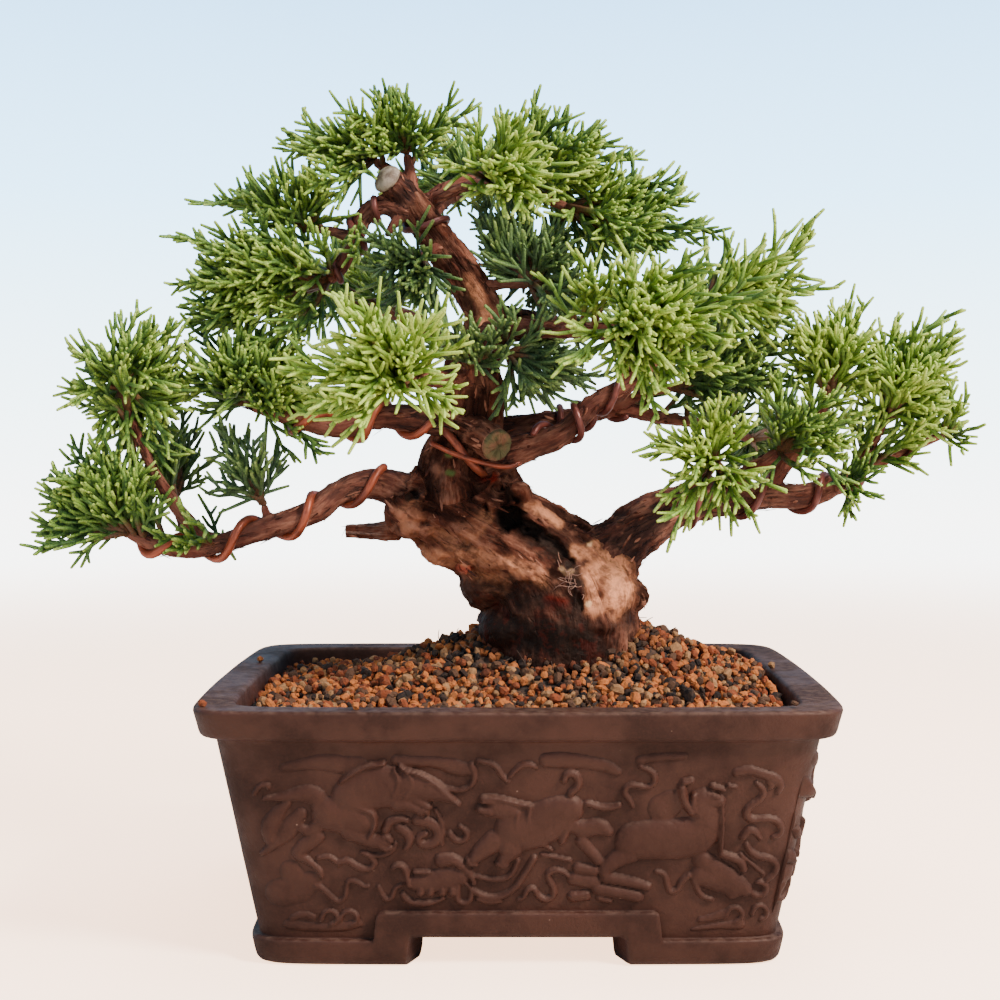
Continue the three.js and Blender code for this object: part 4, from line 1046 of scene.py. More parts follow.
    def build_panel(self, side: Side) -> Piece:
        """Builds the carving of one side.

        Each place on the wall stands out along the wall's normal by the carving's height,
        and the panel closes behind on itself.

        Args:
            side: which side of the pot.

        Returns:
            The panel.
        """
        is_long = side in (Side.FRONT, Side.BACK)
        half, depth = POT_HALF if is_long else POT_HALF[::-1]
        ground, normal = self.wall_grid(half, depth)
        x, z = ground[..., 0], ground[..., 2]
        (rows, columns), (bottom, top) = x.shape, self.panel_span
        look_x = x if is_long else x + self.short_shift
        fade = smoothstep(0.0, 2.5, z - bottom) * smoothstep(0.0, 1.5, top - z)
        ends = 1.0 - smoothstep(half - self.panel_ends[0], half - self.panel_ends[1], np.abs(x))
        height = self.softened(carved_height(look_x, z) * fade * ends)
        spot = np.stack([look_x, np.zeros(x.shape), z], axis=-1).reshape(-1, 3)
        grit = layered_noise(spot, 1.6, 2, 5 + side.value).reshape(x.shape)
        height = height + self.grit * grit * smoothstep(0.02, 0.3, height)
        front = ground + normal * (height - self.sunk)[..., None]
        corners = (slice(None, None, rows - 1), slice(None, None, columns - 1))
        back = ground[corners] - normal[corners] * self.panel_back
        points = np.concatenate([front.reshape(-1, 3), back.reshape(-1, 3)])
        return build_object(f"carved_{side.name.lower()}", self.turned(points, side),
                            [ring_faces(rows, columns, False), *self.closing(rows, columns)],
                            layers={"carved": np.concatenate([height.ravel(), np.zeros(4)])})

    @staticmethod
    def softened(height: Array) -> Array:
        """Wears the carving: each point takes an eighth of its neighbours' mean."""
        padded = np.pad(height, 1, mode="edge")
        mean = (padded[:-2, 1:-1] + padded[2:, 1:-1] + padded[1:-1, :-2]
                + padded[1:-1, 2:]) / 4.0
        return 0.875 * height + 0.125 * mean

    @staticmethod
    def turned(points: Array, side: Side) -> Array:
        """Turns points of the front about the vertical to their side."""
        cos, sin = ((1, 0), (0, 1), (-1, 0), (0, -1))[side.value]
        x, y = points[:, 0] * cos - points[:, 1] * sin, points[:, 0] * sin + points[:, 1] * cos
        return np.stack([x, y, points[:, 2]], axis=1)

    @staticmethod
    def closing(rows: int, columns: int) -> list[Array]:
        """Faces from a grid's border to the four corners behind it, and the back itself."""
        count = rows * columns
        low_left, low_right, top_left, top_right = (count + i for i in range(4))
        across, down = np.arange(columns - 1), np.arange(rows - 1) * columns
        lines = ((across + 1, across, low_left),
                 (count - columns + across, count - columns + across + 1, top_left),
                 (down, down + columns, low_left),
                 (down + 2 * columns - 1, down + columns - 1, low_right))
        fans = [np.stack([a, b, np.full_like(a, c)], axis=1) for a, b, c in lines]
        corner = np.array([[columns - 1, low_left, low_right],
                           [count - 1, top_right, top_left],
                           [count - columns, top_left, low_left],
                           [columns - 1, low_right, count - 1],
                           [count - 1, low_right, top_right]])
        return fans + [corner, np.array([[low_left, top_left, top_right, low_right]])]

    def make(self, effects: Effects) -> None:
        """Builds and dresses the pot."""
        settle(self.build_body(), Clay().material(effects, False), "pot")
        carved = Clay().material(effects, True)
        for side in Side:
            settle(self.build_panel(side), carved, "pot")


@dataclass(frozen=True)
class Clay:
    """Dark brown unglazed clay, mottled, dusty where it faces up, with painted highlight and shade
    on the carving.
    """

    dark: Colour = tint(0.165, 0.077, 0.054)
    light: Colour = tint(0.25, 0.134, 0.10)
    # painted shade: the colour of the shaded ground at the foot of the carving
    recess_shade: Colour = tint(0.12, 0.055, 0.04)
    dust: Colour = tint(0.50, 0.38, 0.32)
    sheen: Colour = (1.0, 0.80, 0.68, 1.0)
    roughness: float = 0.58

    def material(self, effects: Effects, carved: bool) -> Material:
        """Builds the clay's material.

        Args:
            effects: the shared node groups.
            carved: whether the piece has the carving's height as an attribute.

        Returns:
            The material.
        """
        material, desk = new_material("carved_clay" if carved else "clay")
        place = desk.place()
        patches = effects.patches(desk, place, 55.0)
        colour = desk.mix(patches, self.dark, self.light)
        fine = desk.noise(place, 1500.0, 2.0)
        colour = desk.mix(desk.span(fine, 0.35, 0.75, 0.0, 0.35), colour, self.light)
        if carved:
            height = desk.layer("carved")
            # painted highlight: the raised parts of the carving are painted lighter
            raised_highlight = desk.span(height, 0.3, 1.4, 0.0, 0.5)
            colour = desk.mix(raised_highlight, colour, self.light)
            # painted shade: the ground at the foot of each raised stroke is painted darker
            foot = desk.times(desk.span(height, 0.0, 0.12),
                              desk.span(height, 0.12, 0.5, 0.55, 0.0))
            colour = desk.mix(foot, colour, self.recess_shade)
        dust = desk.use(effects.dust, {"Vector": place, "Amount": 0.28})
        colour = desk.mix(dust, colour, self.dust)
        specks = desk.span(desk.cells(place, 260.0), 0.03, 0.075, 1.0, 0.0)
        sparse = desk.span(desk.noise(place, 37.0, 2.0), 0.56, 0.66)
        colour = desk.mix(desk.times(specks, sparse), colour, self.dust)
        pores = desk.bump(desk.noise(place, 900.0, 5.0, 0.65), 0.00022)
        waves = desk.bump(desk.noise(place, 120.0, 3.0), 0.00018, pores)
        rough = desk.span(patches, 0.0, 1.0, self.roughness + 0.12, self.roughness - 0.08)
        desk.finish(colour, rough, waves, 0.26, {"Specular Tint": self.sheen})
        return material


# ---- Soil ----

@dataclass
class Soil:
    """Clay granules heaped over a bed of the same."""

    pitch: float = 2.2
    sides: int = 360
    seed: int = 61
    sunk: float = 1.6  # how deep the bed's top lies under the mound's
    hairs: int = 70
    layers: tuple[Pair, ...] = ((1.0, -1.2), (0.7, -0.3), (0.3, 0.6))
    split: float = 3.0  # where the left heap ends and the right one starts
    on_rim: str = ("-78.4,-55,67.6 68.6,-55.5,67.6 74,10,67.5 -40,-57.5,67.4 12,58,67.4 "
                   "-76.5,22,67.4")  # the granules that lie on the rim

    def build_bed(self) -> Piece:
        """Builds the bed.

        Rings of the plan run from the middle of the floor out, up the pot's inner wall, and in
        over the mound, whose height is mound_height less a granule and plus noise.

        Returns:
            The bed.
        """
        turn = even_turns(self.sides)
        rings: list[Array] = []

        def ring(inset: float, z: Any, shrink: float = 1.0) -> None:
            """Adds one ring of the plan, drawn in towards the middle by shrink."""
            x, y = plan_outline(turn, np.full_like(turn, inset))
            x, y = x * shrink, y * shrink
            height = mound_height(x, y) - self.sunk if z is None else np.full_like(x, z)
            rings.append(np.stack([x, y, height], axis=1))

        bottom = FLOOR_TOP + 1.9
        ring(wall_inset(np.float64(bottom)) + WALL + 2.4, bottom)
        ring(wall_inset(np.float64(17.1)) + WALL + 0.4, 17.1)
        ring(RIM_LIP + 1.2, 58.0)
        for shrink in np.linspace(1.0, 0.06, 34):
            ring(RIM_LIP + 1.25, None, shrink)
        points = np.concatenate(rings)
        top = points[:, 2] > 60.0
        points[:, 2] += np.where(top, 0.5 * layered_noise(points, 2.6, 2, self.seed), 0.0)
        crown = mound_height(np.float64(0), np.float64(0)) - self.sunk
        return build_object("soil_bed", *capped(
            points, self.sides, [0, 0, bottom], [0, 0, crown]))

    def scattered(self) -> tuple[Array, Array]:
        """Places of the granules and their sizes.

        A square lattice is shifted at random inside the rim, one for each layer, which keeps its
        share of the places and lifts them off the mound. A few granules lie on the rim.

        Returns:
            The places and the half sizes.
        """
        rng = np.random.default_rng(self.seed)
        places = []
        for share, lift in self.layers:
            x, y = np.meshgrid(np.arange(-75, 75, self.pitch), np.arange(-55, 55, self.pitch))
            x = x.ravel() + rng.uniform(-0.5, 0.5, x.size) * self.pitch * 1.2
            y = y.ravel() + rng.uniform(-0.5, 0.5, y.size) * self.pitch * 1.2
            inside = (np.abs(x) / 70.5) ** 14 + (np.abs(y) / 51.4) ** 14 < 1.0
            clear = np.hypot(x - 12.5, y) > 18.0
            keep = inside & clear & (rng.uniform(size=x.size) < share)
            x, y = x[keep], y[keep]
            z = mound_height(x, y) + lift + rng.normal(0, 0.3, len(x))
            places.append(np.stack([x, y, z], axis=1))
        size = np.clip(rng.lognormal(0.06, 0.25, (sum(map(len, places)), 1)), 0.62, 1.7)
        rim = parse_points(self.on_rim)
        size = np.concatenate([size, np.full((len(rim), 1), 1.1)])
        return np.concatenate([*places, rim]), size

    @staticmethod
    def blank() -> tuple[Array, Array]:
        """A cube of 24 faces drawn in towards a ball: p / |p|^0.8 of each lattice point."""
        steps = np.arange(-1, 2)
        shape = np.stack(np.meshgrid(steps, steps, steps, indexing="ij"), axis=-1).reshape(-1, 3)
        faces = []
        for axis in range(3):
            u, v = (3 ** (2 - (axis + turn) % 3) for turn in (1, 2))
            for side in (0, 2):
                low = side * 3 ** (2 - axis) + np.array([0, u, v, u + v])
                squares = np.stack([low, low + u, low + u + v, low + v], axis=1)
                faces.append(squares if side else squares[:, ::-1])
        faces = np.concatenate(faces)
        shape = np.delete(shape, 13, axis=0).astype(float)
        shape /= np.linalg.norm(shape, axis=1, keepdims=True) ** 0.8
        return shape * 0.9, faces - (faces > 13)

    def build_granules(self) -> list[Piece]:
        """Builds the granules, left and right of the trunk's foot.

        One blank is copied to every place, scaled unevenly, turned by a random rotation and
        dented by noise of each granule's own.

        Returns:
            The two heaps.
        """
        shape, faces = self.blank()
        rng = np.random.default_rng(self.seed + 1)
        places, size = self.scattered()
        count = len(places)
        half = size * np.array([1.15, 1.0, 0.82]) * rng.uniform(0.76, 1.24, (count, 3))
        cloud = shape[None] + rng.uniform(0, 400, (count, 1, 3))
        dent = lattice_noise(cloud.reshape(-1, 3), 0.85, 7).reshape(count, -1, 1)
        body = shape[None] * half[:, None] * (1.0 + 0.36 * dent)
        turns = np.linalg.qr(rng.normal(size=(count, 3, 3)))[0]
        turns[np.linalg.det(turns) < 0, :, 0] *= -1
        body = np.einsum("nij,nkj->nki", turns, body) + places[:, None]
        tone = rng.uniform(size=count)
        damp = np.hypot((places[:, 0] - 12) / 1.2, places[:, 1]) < 24 + rng.normal(0, 2.5, count)
        heaps = []
        for name, held in (("left", places[:, 0] < self.split),
                           ("right", places[:, 0] >= self.split)):
            starts = (np.arange(held.sum()) * len(shape))[:, None, None]
            heaps.append(build_object(
                f"soil_granules_{name}", body[held].reshape(-1, 3),
                [(faces[None] + starts).reshape(-1, 4)], smooth=False,
                layers={"tone": np.repeat(tone[held], len(shape)),
                        "damp": np.repeat(damp[held].astype(float), len(shape))}))
        return heaps

    def build_hairs(self) -> Piece:
        """Builds fine roots that stand out of the soil.

        Each is a bent thread whose middle leans away from its foot.

        Returns:
            The roots as one piece.
        """
        rng = np.random.default_rng(self.seed + 2)
        count = self.hairs
        angle = rng.uniform(0, 2 * np.pi, count)
        away = rng.uniform(19, 36, count)
        x, y = 12 + away * np.cos(angle), away * np.sin(angle) * 0.9
        foot = np.stack([x, y, mound_height(x, y) - 0.6], axis=1)
        lean = np.stack([rng.normal(0, 1.0, count), rng.normal(0, 1.0, count),
                         rng.uniform(0.15, 1.0, count)], axis=1)
        length = rng.uniform(2.0, 7.0, (count, 1))
        tip = foot + unit(lean) * length
        bend = (foot + tip) / 2 + rng.normal(0, 0.8, (count, 3))
        path = bent(foot[:, None], bend[:, None], tip[:, None],
                    np.linspace(0, 1, 7)[None, :, None])
        radii = np.broadcast_to(np.linspace(0.22, 0.1, 7), (count, 7))
        points, faces, _, _ = sweep(path, radii, 5)
        return build_object("soil_root_hairs", points, faces)

    def make(self, effects: Effects) -> None:
        """Builds and dresses the soil."""
        finish = Granulate()
        granular = finish.granules()
        settle(self.build_bed(), finish.bed(effects), "soil")
        for heap in self.build_granules():
            settle(heap, granular, "soil")
        settle(self.build_hairs(), finish.hairs(), "soil")


@dataclass(frozen=True)
class Granulate:
    """Fired clay granules, orange to brown, with dark lava among them."""

    orange: Colour = tint(0.74, 0.41, 0.20)
    tan: Colour = tint(0.64, 0.45, 0.29)
    rust: Colour = tint(0.53, 0.25, 0.13)
    brown: Colour = tint(0.33, 0.22, 0.155)
    lava: Colour = tint(0.13, 0.105, 0.095)

    def granules(self) -> Material:
        """The granules' material: a colour for each, a dusty speckle and a rough grain."""
        material, desk = new_material("clay_granules")
        place = desk.place()
        tone = desk.layer("tone")
        colour = desk.ramp(tone, ((0.0, self.orange), (0.27, self.tan), (0.43, self.rust),
                                  (0.63, self.brown), (0.8, self.lava), (0.93, self.orange)),
                           steps=True)
        shade = desk.noise(place, 700.0, 4.0)
        colour = desk.mix(desk.span(shade, 0.3, 0.7, 0.0, 0.45), colour, self.brown)
        damp = desk.times(desk.layer("damp"), 0.45)
        colour = desk.mix(damp, colour, self.lava)
        normal = desk.bump(desk.noise(place, 1300.0, 4.0, 0.7), 0.00035)
        desk.finish(colour, 0.92, normal, 0.25)
        return material

    def bed(self, effects: Effects) -> Material:
        """The bed's material: dark, as painted shade for what shows between the granules."""
        material, desk = new_material("soil_under_granules")
        place = desk.place()
        patches = effects.patches(desk, place, 300.0)
        # painted shade: the bed is dark so that the gaps between granules read as shaded
        colour = desk.mix(patches, self.lava, self.brown)
        normal = desk.bump(desk.noise(place, 500.0, 4.0), 0.0008)
        desk.finish(colour, 0.95, normal)
        return material

    def hairs(self) -> Material:
        """The root hairs' material."""
        material, desk = new_material("root_hairs")
        colour = desk.mix(desk.noise(desk.place(), 300.0), self.lava, self.brown)
        desk.finish(colour, 0.85)
        return material


# ---- Wood ----

TRUNK_LIMBS = ("lowerTrunk", "upperTrunk", "ridge", "cutLimb", "deadStub")
CUT_ENDS = ("cutLimb", "deadStub", "cutStub")
CUT_WAY = (0.6, -0.72, -0.36)  # the way that the cut limb's end faces

# The trunk's burl, shoulder and knots as ellipsoids, each "x,y,z" and half sizes "x,y,z".
TRUNK_LUMPS = """
-31,-6,112.5,6.2,7.2,6.8 -29.5,-9.5,108.8,3.6,3.6,3 26,0,96,9,9,7 16,-17.5,91,3.6,3.4,5.5
13.5,-16.5,97,3,3.2,2.6 0.5,-8.5,119,4.4,4.2,4 4,-7,115,3.6,3.8,3.4 -32,-11,113.5,3.2,2.8,3
-28,-12,112.4,2.6,2.6,2.4 -31,-12,117,2.4,2.4,2.2 -26.5,-12.2,116.4,2.2,2.2,2
-29,-11.8,108.6,2.6,2.6,2.3 -25,-12.6,108,1.9,2,1.7 -15,-14,97,2.2,2.2,1.7
12.5,-18.5,97.5,3,2.8,3.4 16.5,-18.5,91.5,2.2,2.4,3.2 11,-17,93,3.2,3,2.6 22,-15,82,6,5,3.4
-7,-9.5,122,3.2,2.8,2.4 22,-6,103,3,3,2 -24,-2,120,5.5,5.5,4 31.4,-3,89,6.2,5.5,5.4
-8,-3,92,8.8,10,7 -20,-5,102,6.5,6,4.6 -1,-2,80,10.5,14,9 25.5,-9,90,7.2,9.5,9
"""


@dataclass(frozen=True)
class Mark:
    """A mark on the trunk's front: a line of points "x,z", its half width and its strength."""

    layer: str
    line: str
    width: float
    strength: float = 1.0
    depth: float = 0.0  # how far it is sunk into the wood, or raised where negative


# the wet marks are wetness at the trunk's foot and painted shade along the sunk crack and creases;
# the tan marks are bare bark, partly painted highlight on the lit right bulge
MARK_LAYERS = ("tan", "wet_and_shaded", "red", "pale", "moss")
TRUNK_MARKS: tuple[Mark, ...] = (
    # partly painted highlight: the tan on the right bulge, where light falls, is painted brighter
    # than bare bark
    Mark("tan", "25.5,98 28.5,94 27,89.5", 5.2, 1.0),
    Mark("tan", "20,96 23,92 21.5,88", 3.2, 0.85),
    Mark("tan", "-27,101 -20,99.5 -11,101 -3,99 6,95.5", 2.6, 0.55, -0.7),
    Mark("tan", "-22,107 -17,104 -12,108 -9,112", 2.4, 0.3),
    Mark("tan", "-13,177 -9.5,171 -8.5,165", 2.6, 0.8, -0.6),
    Mark("tan", "3,114.5 8,113 12,110.5", 1.5, 0.8, -0.5),
    Mark("tan", "16,103 20,102 23,104", 2.0, 0.6),
    Mark("tan", "-11,95 -5,92.5", 3.0, 0.4),
    Mark("tan", "-30,113 -29,109", 3.4, 0.35),
    Mark("wet_and_shaded", "-9,80 2,79 12,79 19,76", 7.5, 1.0),
    Mark("wet_and_shaded", "-10,70 5,68 24,68", 7.0, 1.0),
    Mark("wet_and_shaded", "-14,90 -5,87 4,87", 4.6, 0.8),
    Mark("wet_and_shaded", "24,80 31,83", 4.0, 0.5),
    Mark("wet_and_shaded", "6,88 12,86 18,82", 3.5, 0.9),
    Mark("wet_and_shaded", "2,108 7,105 12,101 15,96", 3.4, 0.85, 1.0),
    # painted shade: this sunk crack, and the sunk creases at -9,93 and -24,121, are painted near
    # black
    Mark("wet_and_shaded", "15.5,98 17,92 15.5,86 15,81", 2.4, 0.9, -0.6),
    Mark("wet_and_shaded", "33,104 36,108", 3.0, 0.5),
    Mark("wet_and_shaded", "-9,93 -2,92 3,94", 1.1, 0.8, 0.5),
    Mark("wet_and_shaded", "-24,121 -29,118 -33,116", 1.8, 0.6, 0.5),
    Mark("red", "8,89.5 12,88.5", 1.7, 1.0),
    Mark("red", "-16,97.4 -13.6,97", 1.0, 0.7),
    Mark("red", "-9,122 -6,122", 1.5, 0.9, -0.9),
    Mark("pale", "19.4,88 19.8,88.2", 0.7, 1.0, -0.6),
    Mark("pale", "20.3,104.2 20.6,104.4", 0.7, 1.0, -0.6),
    Mark("pale", "12,98 13.5,96 15,97", 0.8, 0.4),
    Mark("moss", "-19,124 -17.8,123.4", 0.8, 0.8, -0.3),
    Mark("moss", "-19.5,129 -18.6,128.6", 0.6, 0.8, -0.3),
)


@dataclass(frozen=True)
class Cavity:
    """A ragged oval sunk into the trunk's front: middle, half sizes, tilt, depth, darkness of its
    painted shade.
    """

    middle: Pair
    half: Pair
    tilt: float
    depth: float
    dark: float


CAVITIES: tuple[Cavity, ...] = (
    Cavity((-2.4, 111.2), (5.2, 4.3), -24.0, 8.5, 1.0),
    Cavity((2.6, 108.4), (4.0, 3.0), -30.0, 5.0, 1.0),
    Cavity((9.0, 104.2), (7.0, 2.2), -36.0, 2.4, 0.7),
    Cavity((-2.6, 117.8), (1.2, 3.0), 24.0, 2.2, 0.85),
    Cavity((14.6, 99.6), (2.0, 1.3), 30.0, 2.0, 0.9),
    Cavity((17.0, 89.0), (1.1, 3.4), 8.0, 1.3, 0.7),
    Cavity((-29.0, 117.4), (2.6, 1.5), 20.0, 1.6, 0.8),
)


@dataclass
class Wood:
    """The trunk and the branches, as two pieces of one limb network."""

    trunk_voxel: float = 0.5
    branch_voxel: float = 0.56
    seed: int = 17
    limb_shift: float = 97.0  # between two limbs' ways, so that their bark differs
    block: int = 4000  # corners that are set against the limbs at once
    flakes: tuple[int, int] = (520, 900)  # on the trunk and on the branches
    flake_grid: tuple[int, int] = (5, 6)  # a flake's stations and the corners of its section
    flake_press: float = 0.84
    fibres: int = 22
    fibre_spot: Triple = (14.5, -19.5, 95.0)
    flake_feet: list[tuple[Array, Array, Array, int]] = field(default_factory=list)

    @staticmethod
    def limb_tube(name: str) -> Sheaf:
        """One limb as a round closed tube along its curve."""
        limb = Limb.named(name)
        share = np.linspace(0, 1, max(8, int(limb.length() / 1.5)))
        middle, _, side, _ = limb.frame(share)
        radius = limb.radius(share)
        flat = name in CUT_ENDS
        points, faces, _, _ = sweep(middle[None], radius[None], 28 if radius[0] > 6 else 14,
                                    side[None], dome=0.0 if flat else 0.7)
        return Sheaf(points, faces, {})

    @staticmethod
    def lump(centre: Array, half: Array) -> Sheaf:
        """An ellipsoid: rings of latitude whose radius is the sine of their angle."""
        angle = np.linspace(0.15, np.pi - 0.15, 12)
        path = np.stack([np.zeros(12), np.zeros(12), -np.cos(angle)], axis=1)
        points, faces, _, _ = sweep(path[None], np.sin(angle)[None], 20, dome=0.1)
        return Sheaf(points * half + centre, faces, {})

    def remeshed(self, name: str, parts: list[Sheaf], voxel: float) -> Piece:
        """Joins closed meshes into one skin of small even squares."""
        piece = gather(parts).made(name)
        remesh = piece.modifiers.new("skin", "REMESH")
        remesh.mode, remesh.voxel_size, remesh.use_smooth_shade = "VOXEL", voxel * MM, True
        smooth = piece.modifiers.new("even", "SMOOTH")
        smooth.factor, smooth.iterations = 0.5, 6
        return baked(piece)

    def grain(self, points: Array, names: list[str]) -> tuple[Array, Array, Array]:
        """Bark coordinates of points.

        Each point takes the limb sample with the least distance less radius; its grain is
        radius · cos and radius · sin of its angle about the limb, and its way along the limb.

        Args:
            points: places on the bark.
            names: the limbs to choose from.

        Returns:
            The grain coordinates, and the limb's radius and direction at each place.
        """
        middles, frames, radii, ways = [], [], [], []
        for order, name in enumerate(names):
            limb = Limb.named(name)
            share = np.linspace(0, 1, 10 * len(limb.stations))
            middle, along, side, up = limb.frame(share)
            walked = np.concatenate([[0], np.cumsum(np.linalg.norm(np.diff(middle, axis=0),
                                                                   axis=1))])
            middles.append(middle)
            frames.append(np.stack([along, side, up], axis=1))
            radii.append(limb.radius(share))
            ways.append(walked + self.limb_shift * order)
        middle, frame_axes = np.concatenate(middles), np.concatenate(frames)
        radius, way = np.concatenate(radii), np.concatenate(ways)
        nearest = np.empty(len(points), dtype=int)
        for start in range(0, len(points), self.block):
            block = points[start:start + self.block]
            away = (np.sum(block ** 2, 1)[:, None] - 2 * block @ middle.T
                    + np.sum(middle ** 2, 1)[None])
            away = np.sqrt(np.maximum(away, 0)) - radius
            nearest[start:start + self.block] = np.argmin(away, axis=1)
        offset = points - middle[nearest]
        local = np.einsum("nij,nj->ni", frame_axes[nearest], offset)
        angle = np.arctan2(local[:, 2], local[:, 1])
        girth = radius[nearest]
        return np.stack([np.cos(angle) * girth, np.sin(angle) * girth,
                         way[nearest] + local[:, 0]], axis=1), girth, frame_axes[nearest, 0]

    def bark_relief(self, grain: Array, girth: Array) -> Array:
        """Height of the bark.

        Furrows are one less twice the size of stretched noise; strips are stretched noise
        pressed into steps; both grow with the limb's girth.

        Args:
            grain: the grain coordinates.
            girth: the limb's radius.

        Returns:
            Height over the plain limb, in millimetres.
        """
        size = np.clip(girth / 12.0, 0.2, 1.0)
        long_grain = grain * np.array([1.0, 1.0, 0.3])
        furrow = 1.0 - 2.2 * np.abs(layered_noise(long_grain, 5.5, 3, self.seed))
        strip = layered_noise(long_grain, 2.6, 2, self.seed + 9)
        step = smoothstep(-0.06, 0.06, strip) + smoothstep(0.34, 0.42, strip)
        swell = layered_noise(grain, 9.0, 2, self.seed + 21)
        crumb = 1.0 - 2.0 * np.abs(layered_noise(grain, 2.2, 2, self.seed + 33))
        return size * (0.6 * furrow + 0.5 * step + 1.1 * swell + 0.3 * crumb - 1.1)

    @staticmethod
    def mark_trunk(points: Array) -> tuple[dict[str, Array], Array]:
        """Works out each mark's strength at the trunk's corners and how far it is sunk.

        A mark's weight is exp(−(distance / half width)^4) from its line in the front view, and
        it fades out on the side that faces back.

        Args:
            points: the trunk's corners.

        Returns:
            The strengths, by the marks' names, and how far back each corner moves.
        """
        front = smoothstep(1.0, -5.0, points[:, 1])
        spot = points[:, [0, 2]]
        ragged = np.stack([layered_noise(points, 4.0, 3, 31), layered_noise(points, 4.0, 3, 41)],
                          axis=1)
        layers = {key: np.zeros(len(points)) for key in MARK_LAYERS}
        sunk = np.zeros(len(points))
        for mark in TRUNK_MARKS:
            knots = parse_points(mark.line)
            place = spot + ragged * min(1.1, 0.35 * mark.width)
            nearest = np.full(len(points), 1e9)
            for a, b in zip(knots[:-1], knots[1:]):
                share = np.clip((place - a) @ (b - a) / max((b - a) @ (b - a), 1e-6), 0, 1)
                away = np.linalg.norm(place - a - share[:, None] * (b - a), axis=1)
                nearest = np.minimum(nearest, away)
            weight = np.exp(-(nearest / mark.width) ** 4) * front
            layers[mark.layer] = np.maximum(layers[mark.layer], weight * mark.strength)
            sunk += weight * mark.depth
        around = smoothstep(78.0, 68.0, points[:, 2] + 3.0 * ragged[:, 0])
        layers["wet_and_shaded"] = np.maximum(layers["wet_and_shaded"], around * 0.95)
        from_cut = points - LIMB_STATIONS["cutLimb"][-1, :3]
        layers["scar"] = smoothstep(5.6, 5.0, np.linalg.norm(from_cut, axis=1)) * smoothstep(
            2.2, 1.2, np.abs(from_cut @ np.array(CUT_WAY)))
        layers["bare"] = smoothstep(-35.0, -39.0, points[:, 0]) * smoothstep(
            112.0, 110.0, points[:, 2])
        return {key: v.astype(np.float32) for key, v in layers.items()}, sunk * (
            1.0 - layers["scar"])

    @staticmethod
    def hollows(points: Array) -> tuple[Array, Array]:
        """How far the cavities push the trunk's front back, and how dark their painted shade is.

        A cavity's weight is 1 less the smoothstep of (across / half)² + (up / half)², which
        noise makes ragged.

        Args:
            points: the trunk's corners.

        Returns:
            The push along y and the darkness of the painted shade, 0 to 1.
        """
        front = smoothstep(0.0, -4.0, points[:, 1])
        ragged = np.maximum(1.0 + 0.75 * layered_noise(points, 3.0, 3, 77), 0.4)
        push, dark = np.zeros(len(points)), np.zeros(len(points))
        for cavity in CAVITIES:
            turn = math.radians(cavity.tilt)
            x, z = points[:, 0] - cavity.middle[0], points[:, 2] - cavity.middle[1]
            across = (x * math.cos(turn) + z * math.sin(turn)) / cavity.half[0]
            rise = (z * math.cos(turn) - x * math.sin(turn)) / cavity.half[1]
            flat = (across ** 2 + rise ** 2) * ragged
            push = np.maximum(push, cavity.depth * (1.0 - smoothstep(0.35, 1.15, flat)) * front)
            dark = np.maximum(dark, cavity.dark * (1.0 - smoothstep(0.45, 1.1, flat)) * front)
        return push, dark

    def build_trunk(self) -> Piece:
        """Builds the trunk with its burl, shoulder, knots, hollow and furrowed bark."""
        parts = [self.limb_tube(name) for name in TRUNK_LIMBS]
        parts += [self.lump(row[:3], row[3:]) for row in parse_points(TRUNK_LUMPS)]
        piece = self.remeshed("trunk", parts, self.trunk_voxel)
        points, normals = mesh_arrays(piece)
        grain, girth, along = self.grain(points, list(TRUNK_LIMBS))
        relief = self.bark_relief(grain, girth)
        marks, sunk = self.mark_trunk(points)
        for key, values in marks.items():
            add_layer(piece.data, key, values)
        scar, tan, wet_and_shaded = marks["scar"], marks["tan"], marks["wet_and_shaded"]
        relief = relief * (1 - scar) * (1 - 0.4 * tan) * (1 - 0.75 * wet_and_shaded)
        buried = smoothstep(66.0, 72.0, points[:, 2])
        moved = points + normals * (relief * buried)[:, None]
        moved[:, 1] += sunk
        push, dark = self.hollows(points)
        moved[:, 1] += push
        # painted shade: how dark each cavity is painted
        add_layer(piece.data, "hollow", dark)
        bare = (dark < 0.1) & (scar < 0.1) & (wet_and_shaded + tan < 0.35) & (points[:, 2] > 80.0)
        self.flake_feet.append((moved[bare], normals[bare], along[bare], self.flakes[0]))
        return self.skinned(piece, moved, grain, relief)

    def build_branches(self) -> Piece:
        """Builds the branches and twigs with their bark."""
        names = [name for name in LIMB_STATIONS if name not in TRUNK_LIMBS]
        parts = [self.limb_tube(name) for name in names] + self.knobs(names)
        piece = self.remeshed("branches", parts, self.branch_voxel)
        points, normals = mesh_arrays(piece)
        grain, girth, along = self.grain(points, names)
        thick = girth > 1.5
        self.flake_feet.append((points[thick], normals[thick], along[thick], self.flakes[1]))
        relief = self.bark_relief(grain, girth) * smoothstep(0.8, 2.4, girth)
        add_layer(piece.data, "thin", smoothstep(4.0, 2.0, girth))
        return self.skinned(piece, points + normals * relief[:, None], grain, relief)

    @staticmethod
    def skinned(piece: Piece, points: Array, grain: Array, relief: Array) -> Piece:
        """Puts moved corners, grain and relief into a piece."""
        piece.data.vertices.foreach_set("co", (points * MM).astype(np.float32).ravel())
        add_layer(piece.data, "grain", grain * MM)
        add_layer(piece.data, "relief", relief)
        piece.data.polygons.foreach_set("use_smooth", np.ones(len(piece.data.polygons), bool))
        piece.data.update()
        return piece

